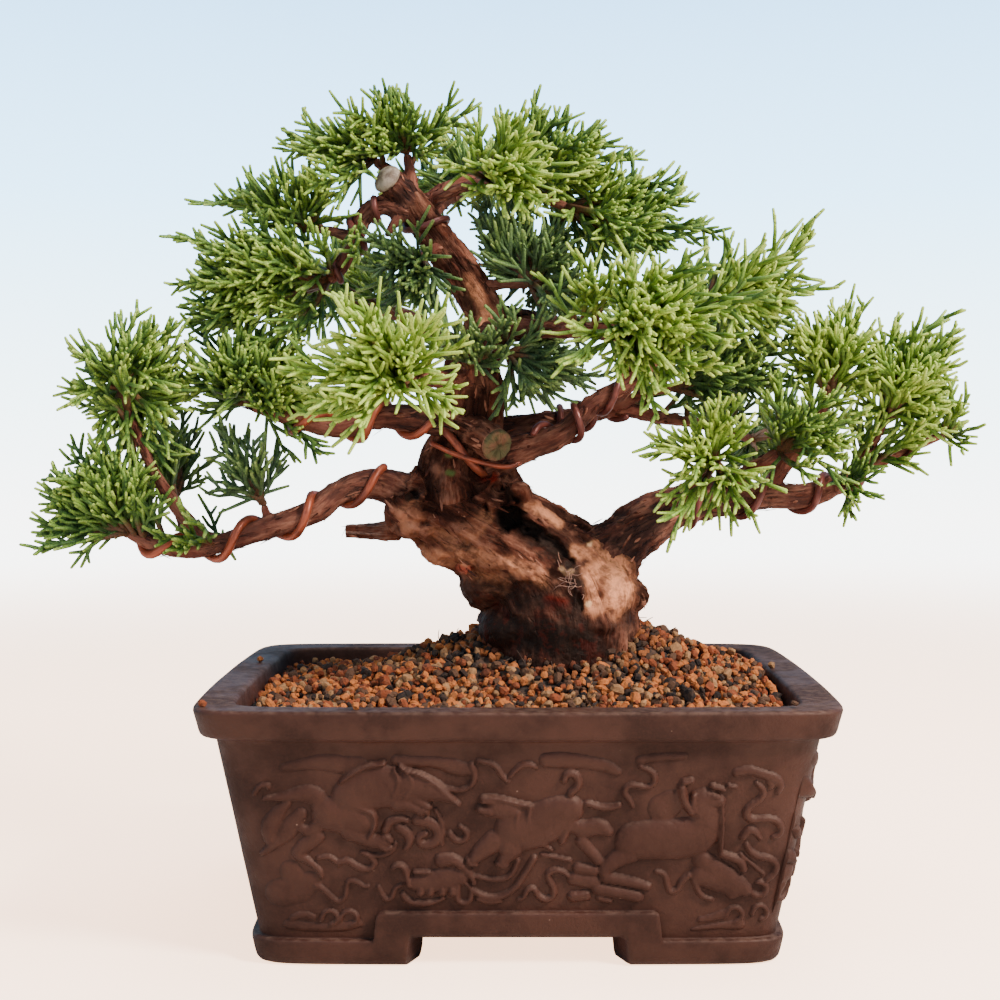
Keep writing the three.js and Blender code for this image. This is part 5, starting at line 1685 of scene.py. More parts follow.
    def knobs(self, names: list[str]) -> list[Sheaf]:
        """Small swellings at random along the limbs, a little under their girth."""
        rng = np.random.default_rng(self.seed + 4)
        lumps = []
        for name in names:
            limb = Limb.named(name)
            share = rng.uniform(0.08, 0.98, int(limb.length() / 5.5))
            if len(share):
                middle, _, side, up = limb.frame(share)
                angle = rng.uniform(0, 2 * np.pi, (len(share), 1))
                radius = limb.radius(share)[:, None]
                centre = middle + (side * np.cos(angle) + up * np.sin(angle)) * radius * 0.55
                half = radius * rng.uniform(0.5, 0.72, (len(share), 3))
                lumps += [self.lump(c, h) for c, h in zip(centre, half)]
        return lumps

    def build_flakes(self) -> Piece:
        """Shreds of bark that lift off the wood.

        Each runs from a foot on the bark along the limb, rises with the square of its share,
        and has a section pressed to a sixth of its width.

        Returns:
            The shreds as one piece.
        """
        rng = np.random.default_rng(self.seed + 8)
        picked = []
        for points, normals, along, count in self.flake_feet:
            pick = rng.integers(0, len(points), count)
            picked.append(np.stack([points[pick], normals[pick], along[pick]], axis=1))
        foot, normal, way = np.moveaxis(np.concatenate(picked), 1, 0)
        count = len(foot)
        way = way * rng.choice([-1.0, 1.0], (count, 1)) + rng.normal(0, 0.25, (count, 3))
        way = unit(way - normal * np.sum(way * normal, axis=1, keepdims=True))
        stations, sides = self.flake_grid
        per_flake = stations * sides + 2
        share = np.linspace(0, 1, stations)[None, :, None]
        length = rng.uniform(1.5, 5.5, (count, 1, 1))
        lift = rng.uniform(0.1, 0.9, (count, 1, 1)) ** 1.6
        path = (foot[:, None] + way[:, None] * length * (share - 0.2)
                + normal[:, None] * (lift * share ** 2 - 0.12))
        half = rng.uniform(0.2, 0.6, (count, 1))
        radii = half * (1.0 - 0.8 * (2.0 * share[:, :, 0] - 1.0) ** 2)
        points, faces, along, _ = sweep(path, radii, sides, normal[:, None], dome=0.3)
        middle = np.concatenate([np.repeat(path, sides, axis=1), path[:, :1], path[:, -1:]],
                                axis=1)
        off = points - middle.reshape(-1, 3)
        out = np.repeat(normal, per_flake, axis=0)
        points = points - out * np.sum(off * out, axis=1, keepdims=True) * self.flake_press
        return build_object("bark_flakes", points, faces, layers={
            "tone": np.repeat(rng.uniform(size=count), per_flake), "along": along})

    def build_fibres(self) -> Piece:
        """Pale fibres that hang from the knot on the trunk's front.

        Each is a thread from a foot on the bark to a tip a few millimetres off, bent in the
        middle.

        Returns:
            The fibres as one piece.
        """
        rng = np.random.default_rng(self.seed)
        count = self.fibres
        foot = np.array(self.fibre_spot) + rng.normal(0, 1.0, (count, 3)) * (1.4, 0.5, 2.0)
        away = rng.normal(0, 1.0, (count, 3)) * (1.4, 0.5, 1.0) + (-0.4, -0.6, 0.2)
        tip = foot + unit(away) * rng.uniform(1.5, 5.0, (count, 1))
        bend = (foot + tip) / 2 + rng.normal(0, 0.7, (count, 3))
        path = bent(foot[:, None], bend[:, None], tip[:, None],
                    np.linspace(0, 1, 6)[None, :, None])
        points, faces, _, _ = sweep(path, np.full((count, 6), 0.09), 4)
        return build_object("bark_fibres", points, faces)

    def make(self, effects: Effects) -> None:
        """Builds and dresses the wood."""
        bark = Bark()
        for piece, material in ((self.build_trunk(), bark.trunk(effects)),
                                (self.build_branches(), bark.branch(effects)),
                                (self.build_flakes(), bark.flake()),
                                (self.build_fibres(), bark.fibre())):
            settle(piece, material, "wood")


@dataclass(frozen=True)
class Bark:
    """Juniper bark: red-brown strips, tan bare patches with a painted highlight on one, near black
    where wet and as painted shade in cracks and hollows.
    """

    dark: Colour = tint(0.13, 0.06, 0.045)
    brown: Colour = tint(0.35, 0.175, 0.12)
    light: Colour = tint(0.62, 0.40, 0.31)
    # bare bark, also used for the painted highlight on the lit right bulge
    tan: Colour = tint(0.93, 0.60, 0.42)
    wet_and_shaded: Colour = tint(0.052, 0.026, 0.02)
    red: Colour = tint(0.44, 0.10, 0.05)
    resin: Colour = tint(0.88, 0.68, 0.50)
    scar_green: Colour = tint(0.40, 0.37, 0.25)
    moss_green: Colour = tint(0.33, 0.40, 0.20)
    bare_wood: Colour = tint(0.60, 0.47, 0.41)
    twig_red: Colour = tint(0.46, 0.22, 0.16)
    # painted shade: the near black inside the cavities
    hollow: Colour = (0.013, 0.007, 0.005, 1.0)
    sheen: Colour = (1.0, 0.72, 0.58, 1.0)

    def strips(self, desk: Desk, calm: Any = 0.0) -> tuple[Socket, Socket]:
        """The bark's colour from its grain, plates and relief, with painted shade in its furrows
        and cracks, and its fine normal.

        Args:
            desk: the material's desk.
            calm: where the bark is worn smooth.

        Returns:
            The colour and the normal.
        """
        grain = desk.stretch(desk.layer("grain", "Vector"), (1.0, 1.0, 0.22))
        broad = desk.noise(grain, 260.0, 5.0, 0.6)
        fine = desk.noise(grain, 1100.0, 4.0, 0.65)
        both = desk.plus(desk.times(broad, 0.65), desk.times(fine, 0.35))
        colour = desk.ramp(both, ((0.32, self.dark), (0.47, self.brown), (0.66, self.light)))
        # painted shade: the low places of the relief are painted darker
        low = desk.span(desk.layer("relief"), -0.7, 0.1, 0.75, 0.0)
        colour = desk.mix(low, colour, self.dark)
        warped = desk.add("VectorMath", {0: grain, 1: desk.stretch(
            desk.noise(grain, 300.0, 3.0), (0.004, 0.004, 0.004))}, operation="ADD").outputs[0]
        plates = desk.span(desk.cells(warped, 330.0, "DISTANCE_TO_EDGE"), 0.0, 0.09, 1.0, 0.0)
        rough = desk.math("SUBTRACT", 1.0, calm)
        cracks = desk.times(desk.times(plates, rough), desk.span(
            desk.noise(desk.place(), 170.0, 2.0), 0.4, 0.6))
        # painted shade: the cracks between the plates are painted darker
        colour = desk.mix(desk.times(cracks, 0.7), colour, self.dark)
        height = desk.math("SUBTRACT", desk.times(broad, rough), desk.times(cracks, 0.5))
        normal = desk.bump(desk.times(fine, rough), 0.0006, desk.bump(height, 0.0013))
        return colour, normal

    def trunk(self, effects: Effects) -> Material:
        """The trunk's material: bark with its marks laid over it one by one."""
        material, desk = new_material("juniper_bark")
        marks = {key: desk.layer(key) for key in (*MARK_LAYERS, "scar", "bare", "hollow")}
        calm = desk.math("MAXIMUM", marks["wet_and_shaded"], desk.times(marks["tan"], 0.7))
        calm = desk.times(calm, 0.85)
        colour, normal = self.strips(desk, calm)
        place = desk.place()
        patches = effects.patches(desk, place, 240.0)
        grey = desk.span(desk.noise(place, 130.0, 3.0), 0.5, 0.68, 0.0, 0.5)
        colour = desk.mix(grey, colour, self.light)
        crumbs = desk.noise(place, 420.0, 5.0, 0.65)
        worn = desk.times(desk.span(patches, 0.0, 0.8, 0.35, 1.0),
                          desk.span(crumbs, 0.3, 0.55, 0.45, 1.0))
        # bare bark, on the lit right bulge partly a painted highlight
        tan = desk.times(marks["tan"], worn)
        bare = desk.mix(desk.span(crumbs, 0.4, 0.75, 0.0, 0.6), self.tan, self.light)
        colour = desk.mix(tan, colour, bare)
        colour = desk.mix(marks["red"], colour, self.red)
        # the wet layer darkens the wet foot of the trunk, and as painted shade its sunk crack and
        # creases
        wet_and_shaded = desk.times(marks["wet_and_shaded"], desk.span(crumbs, 0.3, 0.7, 1.0, 0.93))
        damp = desk.mix(desk.span(patches, 0.5, 1.0, 0.0, 0.16), self.wet_and_shaded, self.red)
        colour = desk.mix(wet_and_shaded, colour, damp)
        colour = desk.mix(marks["pale"], colour, self.resin)
        colour = desk.mix(marks["moss"], colour, self.moss_green)
        streaks = desk.stretch(desk.layer("grain", "Vector"), (1.0, 1.0, 0.06))
        lines = desk.noise(streaks, 900.0, 3.0)
        wood = desk.mix(desk.span(lines, 0.35, 0.65), self.bare_wood, self.brown)
        colour = desk.mix(marks["bare"], colour, wood)
        scar = desk.mix(desk.span(desk.noise(place, 300.0), 0.42, 0.7, 0.0, 0.7),
                        self.scar_green, self.light)
        colour = desk.mix(marks["scar"], colour, scar)
        rim = desk.times(desk.span(marks["scar"], 0.05, 0.4),
                         desk.span(marks["scar"], 0.5, 0.9, 1.0, 0.0))
        colour = desk.mix(rim, colour, self.light)
        # painted shade: the cavities are painted near black
        colour = desk.mix(marks["hollow"], colour, self.hollow)
        rough = desk.math("SUBTRACT", 0.85, desk.times(marks["wet_and_shaded"], 0.33))
        rough = desk.math("SUBTRACT", rough, desk.times(marks["tan"], 0.2))
        normal = desk.bump(crumbs, 0.0007, normal)
        desk.finish(colour, rough, normal, 0.16, {"Specular Tint": self.sheen})
        return material

    def branch(self, effects: Effects) -> Material:
        """The branches' material: redder and smoother where they are thin."""
        material, desk = new_material("branch_bark")
        colour, normal = self.strips(desk)
        patches = effects.patches(desk, desk.place(), 180.0)
        red = desk.mix(desk.span(patches, 0.0, 1.0, 0.0, 0.6), self.twig_red, self.light)
        colour = desk.mix(desk.times(desk.layer("thin"), 0.6), colour, red)
        desk.finish(colour, 0.78, normal, 0.25)
        return material

    def flake(self) -> Material:
        """The shreds' material: dark to pinkish brown, each its own, paler at the ends."""
        material, desk = new_material("bark_shreds")
        level = desk.plus(desk.layer("tone"), desk.times(desk.layer("along"), 0.2))
        level = desk.plus(level, desk.span(desk.noise(desk.place(), 500.0), 0.3, 0.7,
                                                  -0.2, 0.2))
        colour = desk.ramp(level, ((0.0, self.dark), (0.6, self.brown), (1.2, self.light)))
        desk.finish(colour, 0.88, gloss=0.15)
        return material

    def fibre(self) -> Material:
        """The fibres' material."""
        material, desk = new_material("bark_fibre")
        colour = desk.mix(desk.noise(desk.place(), 400.0), self.light, self.bare_wood)
        desk.finish(colour, 0.8)
        return material


# ---- Training wires and paste ----

class WireTone(Enum):
    """How a wire's copper has coloured."""

    BRIGHT = 0
    AGED = 1


@dataclass(frozen=True)
class Copper:
    """Anodised copper-brown wire, smooth with faint drawing lines."""

    bright: Colour = tint(0.62, 0.29, 0.18)
    aged: Colour = tint(0.46, 0.23, 0.19)
    worn: Colour = tint(0.24, 0.11, 0.09)

    def material(self, tone: WireTone, effects: Effects) -> Material:
        """The wire's material, streaked along its length."""
        material, desk = new_material(f"copper_wire_{tone.name.lower()}")
        base = self.bright if tone is WireTone.BRIGHT else self.aged
        patches = effects.patches(desk, desk.place(), 170.0)
        colour = desk.mix(desk.span(patches, 0.3, 1.0, 0.0, 0.55), base, self.worn)
        grain = desk.stretch(desk.layer("grain", "Vector"), (1.0, 1.0, 0.02))
        lines = desk.noise(grain, 900.0, 2.0)
        colour = desk.mix(desk.span(lines, 0.5, 0.75, 0.0, 0.3), colour, self.worn)
        rough = desk.span(lines, 0.3, 0.7, 0.34, 0.5)
        normal = desk.bump(lines, 0.00006)
        desk.finish(colour, rough, normal, more={"Metallic": 0.35})
        return material


@dataclass(frozen=True)
class Coil:
    """A wire coiled round a limb: its span along the limb, turns, radius and first angle."""

    name: str
    limb: str
    span: Pair
    turns: float
    radius: float
    start: float
    tone: WireTone

    def path(self) -> tuple[Array, Array]:
        """The coil's middle line and its outward directions.

        The point at share s is the limb's middle + reach · (cos a · side + sin a · up), with
        a growing evenly and reach the limb's radius plus most of the wire's.

        Returns:
            The points and the outward directions.
        """
        limb = Limb.named(self.limb)
        part = np.linspace(0, 1, int(self.turns * 40) + 12)
        share = self.span[0] + (self.span[1] - self.span[0]) * part
        angle = 2 * np.pi * (self.start + self.turns * part)
        middle, _, side, up = limb.frame(share)
        out = side * np.cos(angle)[:, None] + up * np.sin(angle)[:, None]
        wander = 1.0 + 0.05 * np.sin(5.3 * part * self.turns + self.start)
        reach = limb.radius(share) * 0.96 * wander + self.radius * 0.9
        return middle + out * reach[:, None], out


COILS: tuple[Coil, ...] = (
    Coil("wire_left_lower", "leftLower", (0.1, 0.95), 3.7, 1.2, 0.3, WireTone.BRIGHT),
    Coil("wire_middle_left", "middleLeft", (0.2, 0.95), 3.0, 1.2, 0.5, WireTone.BRIGHT),
    Coil("wire_upper_trunk", "upperTrunk", (0.18, 0.35), 0.62, 1.2, 0.3, WireTone.BRIGHT),
    Coil("wire_right_lower", "rightLower", (0.22, 0.93), 4.4, 1.1, 0.3, WireTone.AGED),
    Coil("wire_middle_right", "middleRight", (0.2, 0.93), 3.1, 1.0, 0.6, WireTone.AGED),
    Coil("wire_back_right", "backRightLow", (0.2, 0.62), 2.2, 1.0, 0.2, WireTone.AGED),
    Coil("wire_upper_left", "upperLeft", (0.25, 0.9), 2.3, 1.0, 0.4, WireTone.AGED),
    Coil("wire_apex", "upperTrunk", (0.84, 0.97), 1.5, 1.0, 0.7, WireTone.AGED),
)


@dataclass
class TrainingWires:
    """All the coiled wires, with a thinner second strand beside the trunk's."""

    sides: int = 10
    doubled: str = "wire_upper_trunk"
    strand: str = "-24,-7,132 -18,-11.2,129.2 -10,-12.2,126.6 -3,-10.6,125.4 1,-8,126.6"
    strand_radius: float = 0.75

    def build_wire(self, coil: Coil) -> Piece:
        """Carries a round section along the coil."""
        path, out = coil.path()
        radii = np.full(len(path), coil.radius)
        radii[[0, -1]] *= 0.86
        points, faces, _, grain = sweep(path[None], radii[None], self.sides, out[None], dome=0.25)
        strands = [Sheaf(points, faces, {"grain": grain * MM})]
        if coil.name == self.doubled:
            path = Limb(parse_points(self.strand)).middle(np.linspace(0, 1, 24))
            points, faces, _, grain = sweep(path[None], np.full((1, 24), self.strand_radius),
                                            self.sides)
            strands.append(Sheaf(points, faces, {"grain": grain * MM}))
        return gather(strands).made(f"coiled_{coil.name}")

    def make(self, effects: Effects) -> None:
        """Builds and dresses the wires."""
        finish = {tone: Copper().material(tone, effects) for tone in WireTone}
        for coil in COILS:
            settle(self.build_wire(coil), finish[coil.tone], coil.name)


@dataclass
class CutPaste:
    """The dome of sealing paste over the sawn stub near the top."""

    profile: tuple[Pair, ...] = (
        (0.0, 0.05), (3.7, 0.0), (4.15, 0.25), (4.3, 0.8), (4.15, 1.4), (3.7, 2.1), (2.9, 2.65),
        (1.7, 3.0), (0.6, 3.15))
    dark: Colour = tint(0.42, 0.33, 0.26)
    light: Colour = tint(0.62, 0.54, 0.46)

    def build(self) -> Piece:
        """Turns the profile round the stub's direction, uneven by noise."""
        knots = Limb.named("cutStub").stations[-2:, :3]
        way = unit(knots[1] - knots[0])
        rows = np.array(self.profile[1:])
        path = knots[1] + way * (rows[:, 1:] + 0.35)
        points, faces, _, _ = sweep(path[None], rows[None, :, 0], 40, dome=0.02)
        uneven = 1.0 + 0.02 * layered_noise(points, 2.2, 2, 5)
        points = knots[1] + (points - knots[1]) * uneven[:, None]
        return build_object("paste_dome", points, faces)

    def make(self, effects: Effects) -> None:
        """Builds and dresses the paste."""
        material, desk = new_material("sealing_paste")
        place = desk.place()
        patches = effects.patches(desk, place, 420.0)
        colour = desk.mix(patches, self.dark, self.light)
        normal = desk.bump(desk.noise(place, 800.0, 4.0), 0.0004)
        desk.finish(colour, 0.6, normal)
        settle(self.build(), material, "cut_paste")


# ---- Foliage ----

class Growth(Enum):
    """A tuft's growth: tone from dark 0 to bright 1, share of grey, and how open it is; SHADED's
    low tone is painted shade.
    """

    FRESH = (0.86, 0.0, 0.9)
    BRIGHT = (0.76, 0.04, 0.7)
    GREEN = (0.52, 0.1, 0.4)
    GREY = (0.4, 0.6, 0.25)
    SHADED = (0.24, 0.25, 0.2)


GOLDEN_ANGLE = 2.39996
SKEW = np.array([0.25, 0.31, 0.92])  # a direction that few cords run along

GROWTH_OF: dict[str, Growth] = {
    "front_left": Growth.FRESH, "front_right": Growth.BRIGHT, "apex_front": Growth.BRIGHT,
    "right_top": Growth.BRIGHT, "apex_right": Growth.GREEN, "apex_middle": Growth.GREEN,
    "inner_front": Growth.GREY, "inner_left": Growth.GREY, "middle_left": Growth.GREEN,
    "left_inner": Growth.SHADED, "left_upright": Growth.GREY, "hanging": Growth.GREY,
    "inner_right": Growth.GREY, "right_middle": Growth.SHADED, "back_low": Growth.SHADED,
    "low_upper": Growth.BRIGHT, "low_right": Growth.BRIGHT, "right_tip": Growth.BRIGHT,
    "low_front": Growth.BRIGHT, "upper_left": Growth.GREEN, "left_tip": Growth.GREEN,
}


@dataclass(frozen=True)
class Cords:
    """Many scaly shoots at once: three points and two radii for each."""

    foot: Array
    bend: Array
    tip: Array
    thick: Array  # radius at the foot and at the tip
    tone: Array
    fresh: Array  # 0 where old and woody, 1 where this year's growth

    def point(self, share: Array) -> Array:
        """Points at one share of each cord."""
        return bent(self.foot, self.bend, self.tip, share[:, None])

    def way(self, share: Array) -> Array:
        """Directions at one share of each cord."""
        s = share[:, None]
        return unit((1 - s) * (self.bend - self.foot) + s * (self.tip - self.bend))

    def length(self) -> Array:
        """Straight length of each cord."""
        return np.linalg.norm(self.tip - self.foot, axis=1)

    def sheaf(self, stations: int, sides: int) -> Sheaf:
        """Meshes every cord as a tube whose end rounds off."""
        share = np.linspace(0, 1, stations)
        path = bent(self.foot[:, None], self.bend[:, None], self.tip[:, None],
                    share[None, :, None])
        radii = self.thick[:, :1] * (1 - share) + self.thick[:, 1:] * share
        radii[:, -1] *= 0.8
        points, faces, along, grain = sweep(path, radii, sides, dome=0.8)
        per_cord = stations * sides + 2
        return Sheaf(points, faces, {
            "along": along, "grain": grain * MM, "tone": np.repeat(self.tone, per_cord),
            "fresh": np.repeat(self.fresh, per_cord)})


@dataclass
class Tuft:
    """One tuft of juniper foliage, grown from its twig's end towards its tips."""

    name: str
    limb: str
    tips: Array
    order: int
    seed: int = 4353
    finger_gap: float = 8.5  # length of fingers for each extra one
    finger_mix: float = 0.75  # below 1, an extra finger leans to one tip
    cord_room: float = 6.3  # how far a finger ends short of its tip
    scatter: float = 4.5
    limb_run: float = 34.0  # the limb's last part that carries fingers, and their gap on it
    limb_gap: float = 3.2
    twig_gap: float = 0.85
    finger_radii: Pair = (0.95, 0.7)
    cord_spacing: float = 2.7
    cord_length: Pair = (13.0, 7.2)
    inner_box: tuple[tuple[float, ...], tuple[float, ...]] = ((-132.9, -76.7, 62.0),
                                                             (132.1, 78.5, 235.6))

    def grow_fingers(self, rng: np.random.Generator) -> Cords:
        """Grows the fingers.

        One reaches each tip, and the rest reach for mixes of the tips at the same mean length,
        moved a few millimetres at random. Each bows up by a twelfth of its length.

        Args:
            rng: the tuft's own random stream.

        Returns:
            The fingers.
        """
        stations = Limb.named(self.limb).stations
        base = stations[-1, :3] + unit(stations[-1, :3] - stations[-2, :3]) * self.twig_gap
        spans = np.linalg.norm(self.tips - base, axis=1)
        extra = int(spans.sum() / self.finger_gap) if len(self.tips) > 1 else 2
        weights = np.concatenate([np.eye(len(self.tips)),
                                  rng.dirichlet(np.full(len(self.tips), self.finger_mix),
                                                extra)])
        goal = weights @ self.tips
        reach = (weights @ spans) * np.concatenate([np.ones(len(self.tips)),
                                                    rng.uniform(0.6, 1.0, extra)])
        reach -= np.minimum(self.cord_room, 0.4 * reach)
        goal[len(self.tips):] += rng.normal(0, self.scatter, (extra, 3)) * (1.0, 1.0, 0.8)
        tip = base + unit(goal - base) * reach[:, None]
        foot = np.broadcast_to(base, tip.shape) + rng.normal(0, 0.25, tip.shape)
        feet, tips = self.off_the_limb(rng)
        foot, tip = np.concatenate([foot, feet]), np.concatenate([tip, tips])
        reach = np.linalg.norm(tip - foot, axis=1)[:, None]
        bend = (foot + tip) / 2 + np.array([0, 0, 0.08]) * reach
        bend += rng.normal(0, 0.09, bend.shape) * reach
        count = len(foot)
        return Cords(foot, bend, tip, np.tile(self.finger_radii, (count, 1)),
                     rng.uniform(0.3, 0.6, count), np.zeros(count))

    def off_the_limb(self, rng: np.random.Generator) -> tuple[Array, Array]:
        """Feet and tips of short fingers off the limb's last part, leaning forward and out."""
        limb = Limb.named(self.limb)
        length = limb.length()
        count = int(min(length * 0.38, self.limb_run) / self.limb_gap)
        share = rng.uniform(max(0.62, 1.0 - self.limb_run / length), 0.98, count)
        middle, along, side, up = limb.frame(share)
        angle = rng.uniform(0, 2 * np.pi, (count, 1))
        out = side * np.cos(angle) + up * np.sin(angle)
        out[:, 2] = np.abs(out[:, 2])
        feet = middle + out * limb.radius(share)[:, None] * 0.5
        way = unit(0.8 * along + out + np.array([0, 0, 0.3]))
        return feet, feet + way * rng.uniform(7.0, 13.0, (count, 1))

    def branch_off(self, parents: Cords, picks: Array, share: Array, turn: Array,
                   lean: Array, length: Array, radius: float, fresh: float,
                   rng: np.random.Generator) -> Cords:
        """Grows cords off others.

        A cord leaves its parent at a share of its length, at the lean from the parent's
        direction and turned about it, then curves back towards that direction and up, with a
        random drift of a tenth of its length.

        Args:
            parents: the cords that carry the new ones.
            picks: the number of each new cord's parent.
            share: where on the parent it leaves.
            turn: angle about the parent.
            lean: angle from the parent.
            length: its length.
            radius: its radius.
            fresh: how new the growth is.
            rng: the tuft's own random stream.

        Returns:
            The new cords that stay inside the tree's own box.
        """
        held = Cords(*(getattr(parents, key)[picks] for key in (
            "foot", "bend", "tip", "thick", "tone", "fresh")))
        foot, axis = held.point(share), held.way(share)
        reference = unit(np.cross(axis, SKEW))
        other = np.cross(axis, reference)
        out = reference * np.cos(turn)[:, None] + other * np.sin(turn)[:, None]
        way = axis * np.cos(lean)[:, None] + out * np.sin(lean)[:, None]
        back = unit(way + 0.3 * axis + np.array([0, 0, 0.14]))
        bend = foot + way * length[:, None] * 0.5
        drift = rng.normal(0, 0.1, bend.shape) * length[:, None]
        tip = bend + back * length[:, None] * 0.5 + drift
        low, high = np.array(self.inner_box)
        keep = np.all((tip > low) & (tip < high), axis=1) & (tip[:, 2] > 80.0)
        tone = np.clip(held.tone + rng.normal(0, 0.1, len(foot)), 0, 1)
        size = rng.uniform(0.9, 1.1, len(foot))
        thick = np.stack([radius * size, radius * size * 0.9], axis=1)
        new = np.full(len(foot), fresh)
        return Cords(foot[keep], bend[keep], tip[keep], thick[keep], tone[keep], new[keep])

    def build(self) -> Piece:
        """Grows the tuft: fingers, cords along them, side cords and stubs."""
        rng = np.random.default_rng(self.seed + self.order)
        tone, grey, loose = GROWTH_OF.get(self.name, Growth.GREEN).value
        fingers = self.grow_fingers(rng)
        spacing = self.cord_spacing + 1.1 * loose
        counts = np.maximum((fingers.length() / spacing).astype(int), 4)
        picks = np.repeat(np.arange(len(counts)), counts)
        ranks = np.concatenate([np.arange(c) for c in counts])
        share = 0.2 + 0.8 * ranks / (counts[picks] - 1)
        span = self.cord_length[0] * (1 - share) + self.cord_length[1] * share
        span *= (1.0 + 0.22 * loose) * rng.uniform(0.6, 1.15, len(share))
        lean = 0.8 - 0.4 * share + rng.normal(0, 0.14, len(share))
        mains = self.branch_off(
            fingers, picks, np.minimum(share, 0.995), ranks * GOLDEN_ANGLE + picks,
            np.where(share > 0.99, 0.08, lean), span, 0.6 + 0.02 * loose, 0.45, rng)
        sides = self.side_cords(mains, 3 if loose > 0.5 else 4, (
            0.68 + 0.16 * loose, 0.46 + 0.2 * loose), 0.56 + 0.02 * loose, 0.75, rng)
        stubs = self.side_cords(sides, 2, (0.66, 0.5), 0.54, 1.0, rng, keep=0.16 - 0.12 * loose)
        sheaf = gather([fingers.sheaf(7, 5), mains.sheaf(4, 5), sides.sheaf(3, 5),
                        stubs.sheaf(2, 4)])
        sheaf.layers["tone"] = np.clip(tone + 0.8 * (sheaf.layers["tone"] - 0.45), 0, 1)
        sheaf.layers["grey"] = np.full(len(sheaf.points), grey)
        sheaf.layers["loose"] = np.full(len(sheaf.points), loose)
        return sheaf.made(f"shoots_{self.name}")

    def side_cords(self, parents: Cords, number: int, span: Pair, radius: float,
                   fresh: float, rng: np.random.Generator, keep: float = 1.0) -> Cords:
        """Grows cords in turn to both sides of others, as shares of their length."""
        count = len(parents.foot)
        picks = np.repeat(np.arange(count), number)
        ranks = np.tile(np.arange(number), count)
        kept = rng.uniform(size=len(picks)) < keep
        picks, ranks = picks[kept], ranks[kept]
        share = (ranks + 1.0) / (number + 0.6) + rng.uniform(-0.06, 0.06, len(picks))
        share = np.clip(share, 0.1, 0.96)
        plane = rng.uniform(0, np.pi, count)[picks]
        turn = plane + np.pi * (ranks % 2) + rng.normal(0, 0.35, len(picks))
        length = (span[0] * (1 - share) + span[1] * share) * parents.length()[picks]
        length = np.maximum(length * rng.uniform(0.7, 1.2, len(picks)), 1.6)
        lean = rng.uniform(0.34, 0.78, len(picks))
        return self.branch_off(parents, picks, share, turn, lean, length, radius, fresh, rng)


@dataclass(frozen=True)
class Scales:
    """Juniper shoots: pressed scales, blue-green when old, yellow-green at the tips."""

    deep: Colour = tint(0.13, 0.23, 0.12)
    green: Colour = tint(0.30, 0.42, 0.17)
    bright: Colour = tint(0.52, 0.63, 0.22)
    tip: Colour = tint(0.74, 0.81, 0.36)
    grey: Colour = tint(0.38, 0.44, 0.33)
    stem: Colour = tint(0.40, 0.26, 0.17)

    def material(self) -> Material:
        """The shoots' material.

        Tone and freshness pick the green, cords lighten towards their ends, and two rows of
        scales alternate along each cord, with painted shade at the seam of each scale.

        Returns:
            The material.
        """
        material, desk = new_material("juniper_scales")
        fresh, along = desk.layer("fresh"), desk.layer("along")
        reach = desk.times(desk.math("POWER", along, 1.4), desk.span(
            fresh, 0.2, 1.0, 0.36, 0.7))
        level = desk.plus(desk.times(desk.layer("tone"), 0.7), reach)
        cloud = desk.noise(desk.place(), 60.0, 2.0)
        level = desk.plus(level, desk.span(cloud, 0.3, 0.7, -0.14, 0.1))
        colour = desk.ramp(level, ((0.0, self.deep), (0.4, self.green), (0.78, self.bright),
                                   (1.0, self.tip)))
        colour = desk.mix(desk.times(desk.layer("grey"), 0.8), colour, self.grey)
        woody = desk.times(desk.span(fresh, 0.0, 0.2, 1.0, 0.0),
                          desk.span(along, 0.35, 0.8, 1.0, 0.0))
        colour = desk.mix(woody, colour, self.stem)
        parts = desk.add("SeparateXYZ", {0: desk.layer("grain", "Vector")})
        facing = desk.math("GREATER_THAN", desk.math("ABSOLUTE", parts.outputs[0]), 0.0007)
        row = desk.plus(desk.times(parts.outputs[2], 850.0), desk.times(facing, 0.5))
        scale = desk.math("FRACT", row)
        # painted shade: the seam at the end of each scale is painted darker
        edge = desk.times(desk.span(scale, 0.6, 1.0, 0.0, 0.6), desk.span(
            desk.layer("loose"), 0.2, 1.0, 1.0, 0.45))
        colour = desk.mix(edge, colour, self.deep)
        normal = desk.bump(scale, 0.00022)
        desk.finish(colour, 0.48, normal, 0.22, {
            "Subsurface Weight": 0.12, "Subsurface Radius": (0.0012, 0.002, 0.0006)})
        return material


@dataclass
class Foliage:
    """Every tuft of the tree."""

    def make(self) -> None:
        """Builds and dresses the tufts."""
        material = Scales().material()
        for order, (head, tips) in enumerate(parse_table(TUFT_TABLE)):
            name, limb = head.split()
            settle(Tuft(name, limb, parse_points(tips), order).build(), material,
                   f"foliage_{name}")


# ---- Drain screens ----

class DrainScreens:
    """The two mesh squares over the drain holes, kept as the CAD makes them."""

    def make(self) -> None:
        """Gives them black plastic with a faint grain."""
        material, desk = new_material("screen_plastic")
        place = desk.place()
        colour = desk.mix(desk.noise(place, 500.0), tint(0.12, 0.12, 0.12), tint(0.2, 0.2, 0.2))
        normal = desk.bump(desk.noise(place, 1500.0), 0.0001)
        desk.finish(colour, 0.6, normal)
        for name in ("drain_screen_left", "drain_screen_right"):
            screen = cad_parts[name]
            screen.data.materials.clear()
            screen.data.materials.append(material)


# ---- Studio ----

@dataclass(frozen=True)
class Lamp:
    """A square soft light: its place, its side and its power in watts."""

    name: str
    place: Triple
    side: float
    power: float
    colour: Triple = (1.0, 1.0, 1.0)


LAMPS: tuple[Lamp, ...] = (
    Lamp("key_right", (0.85, -0.6, 0.85), 0.3, 34.0, (1.0, 0.95, 0.88)),
    Lamp("fill_left", (-1.0, -0.7, 0.6), 0.9, 4.0, (0.90, 0.96, 1.0)),
    Lamp("top", (0.15, 0.1, 1.3), 0.6, 12.0, (1.0, 0.99, 0.97)),
)


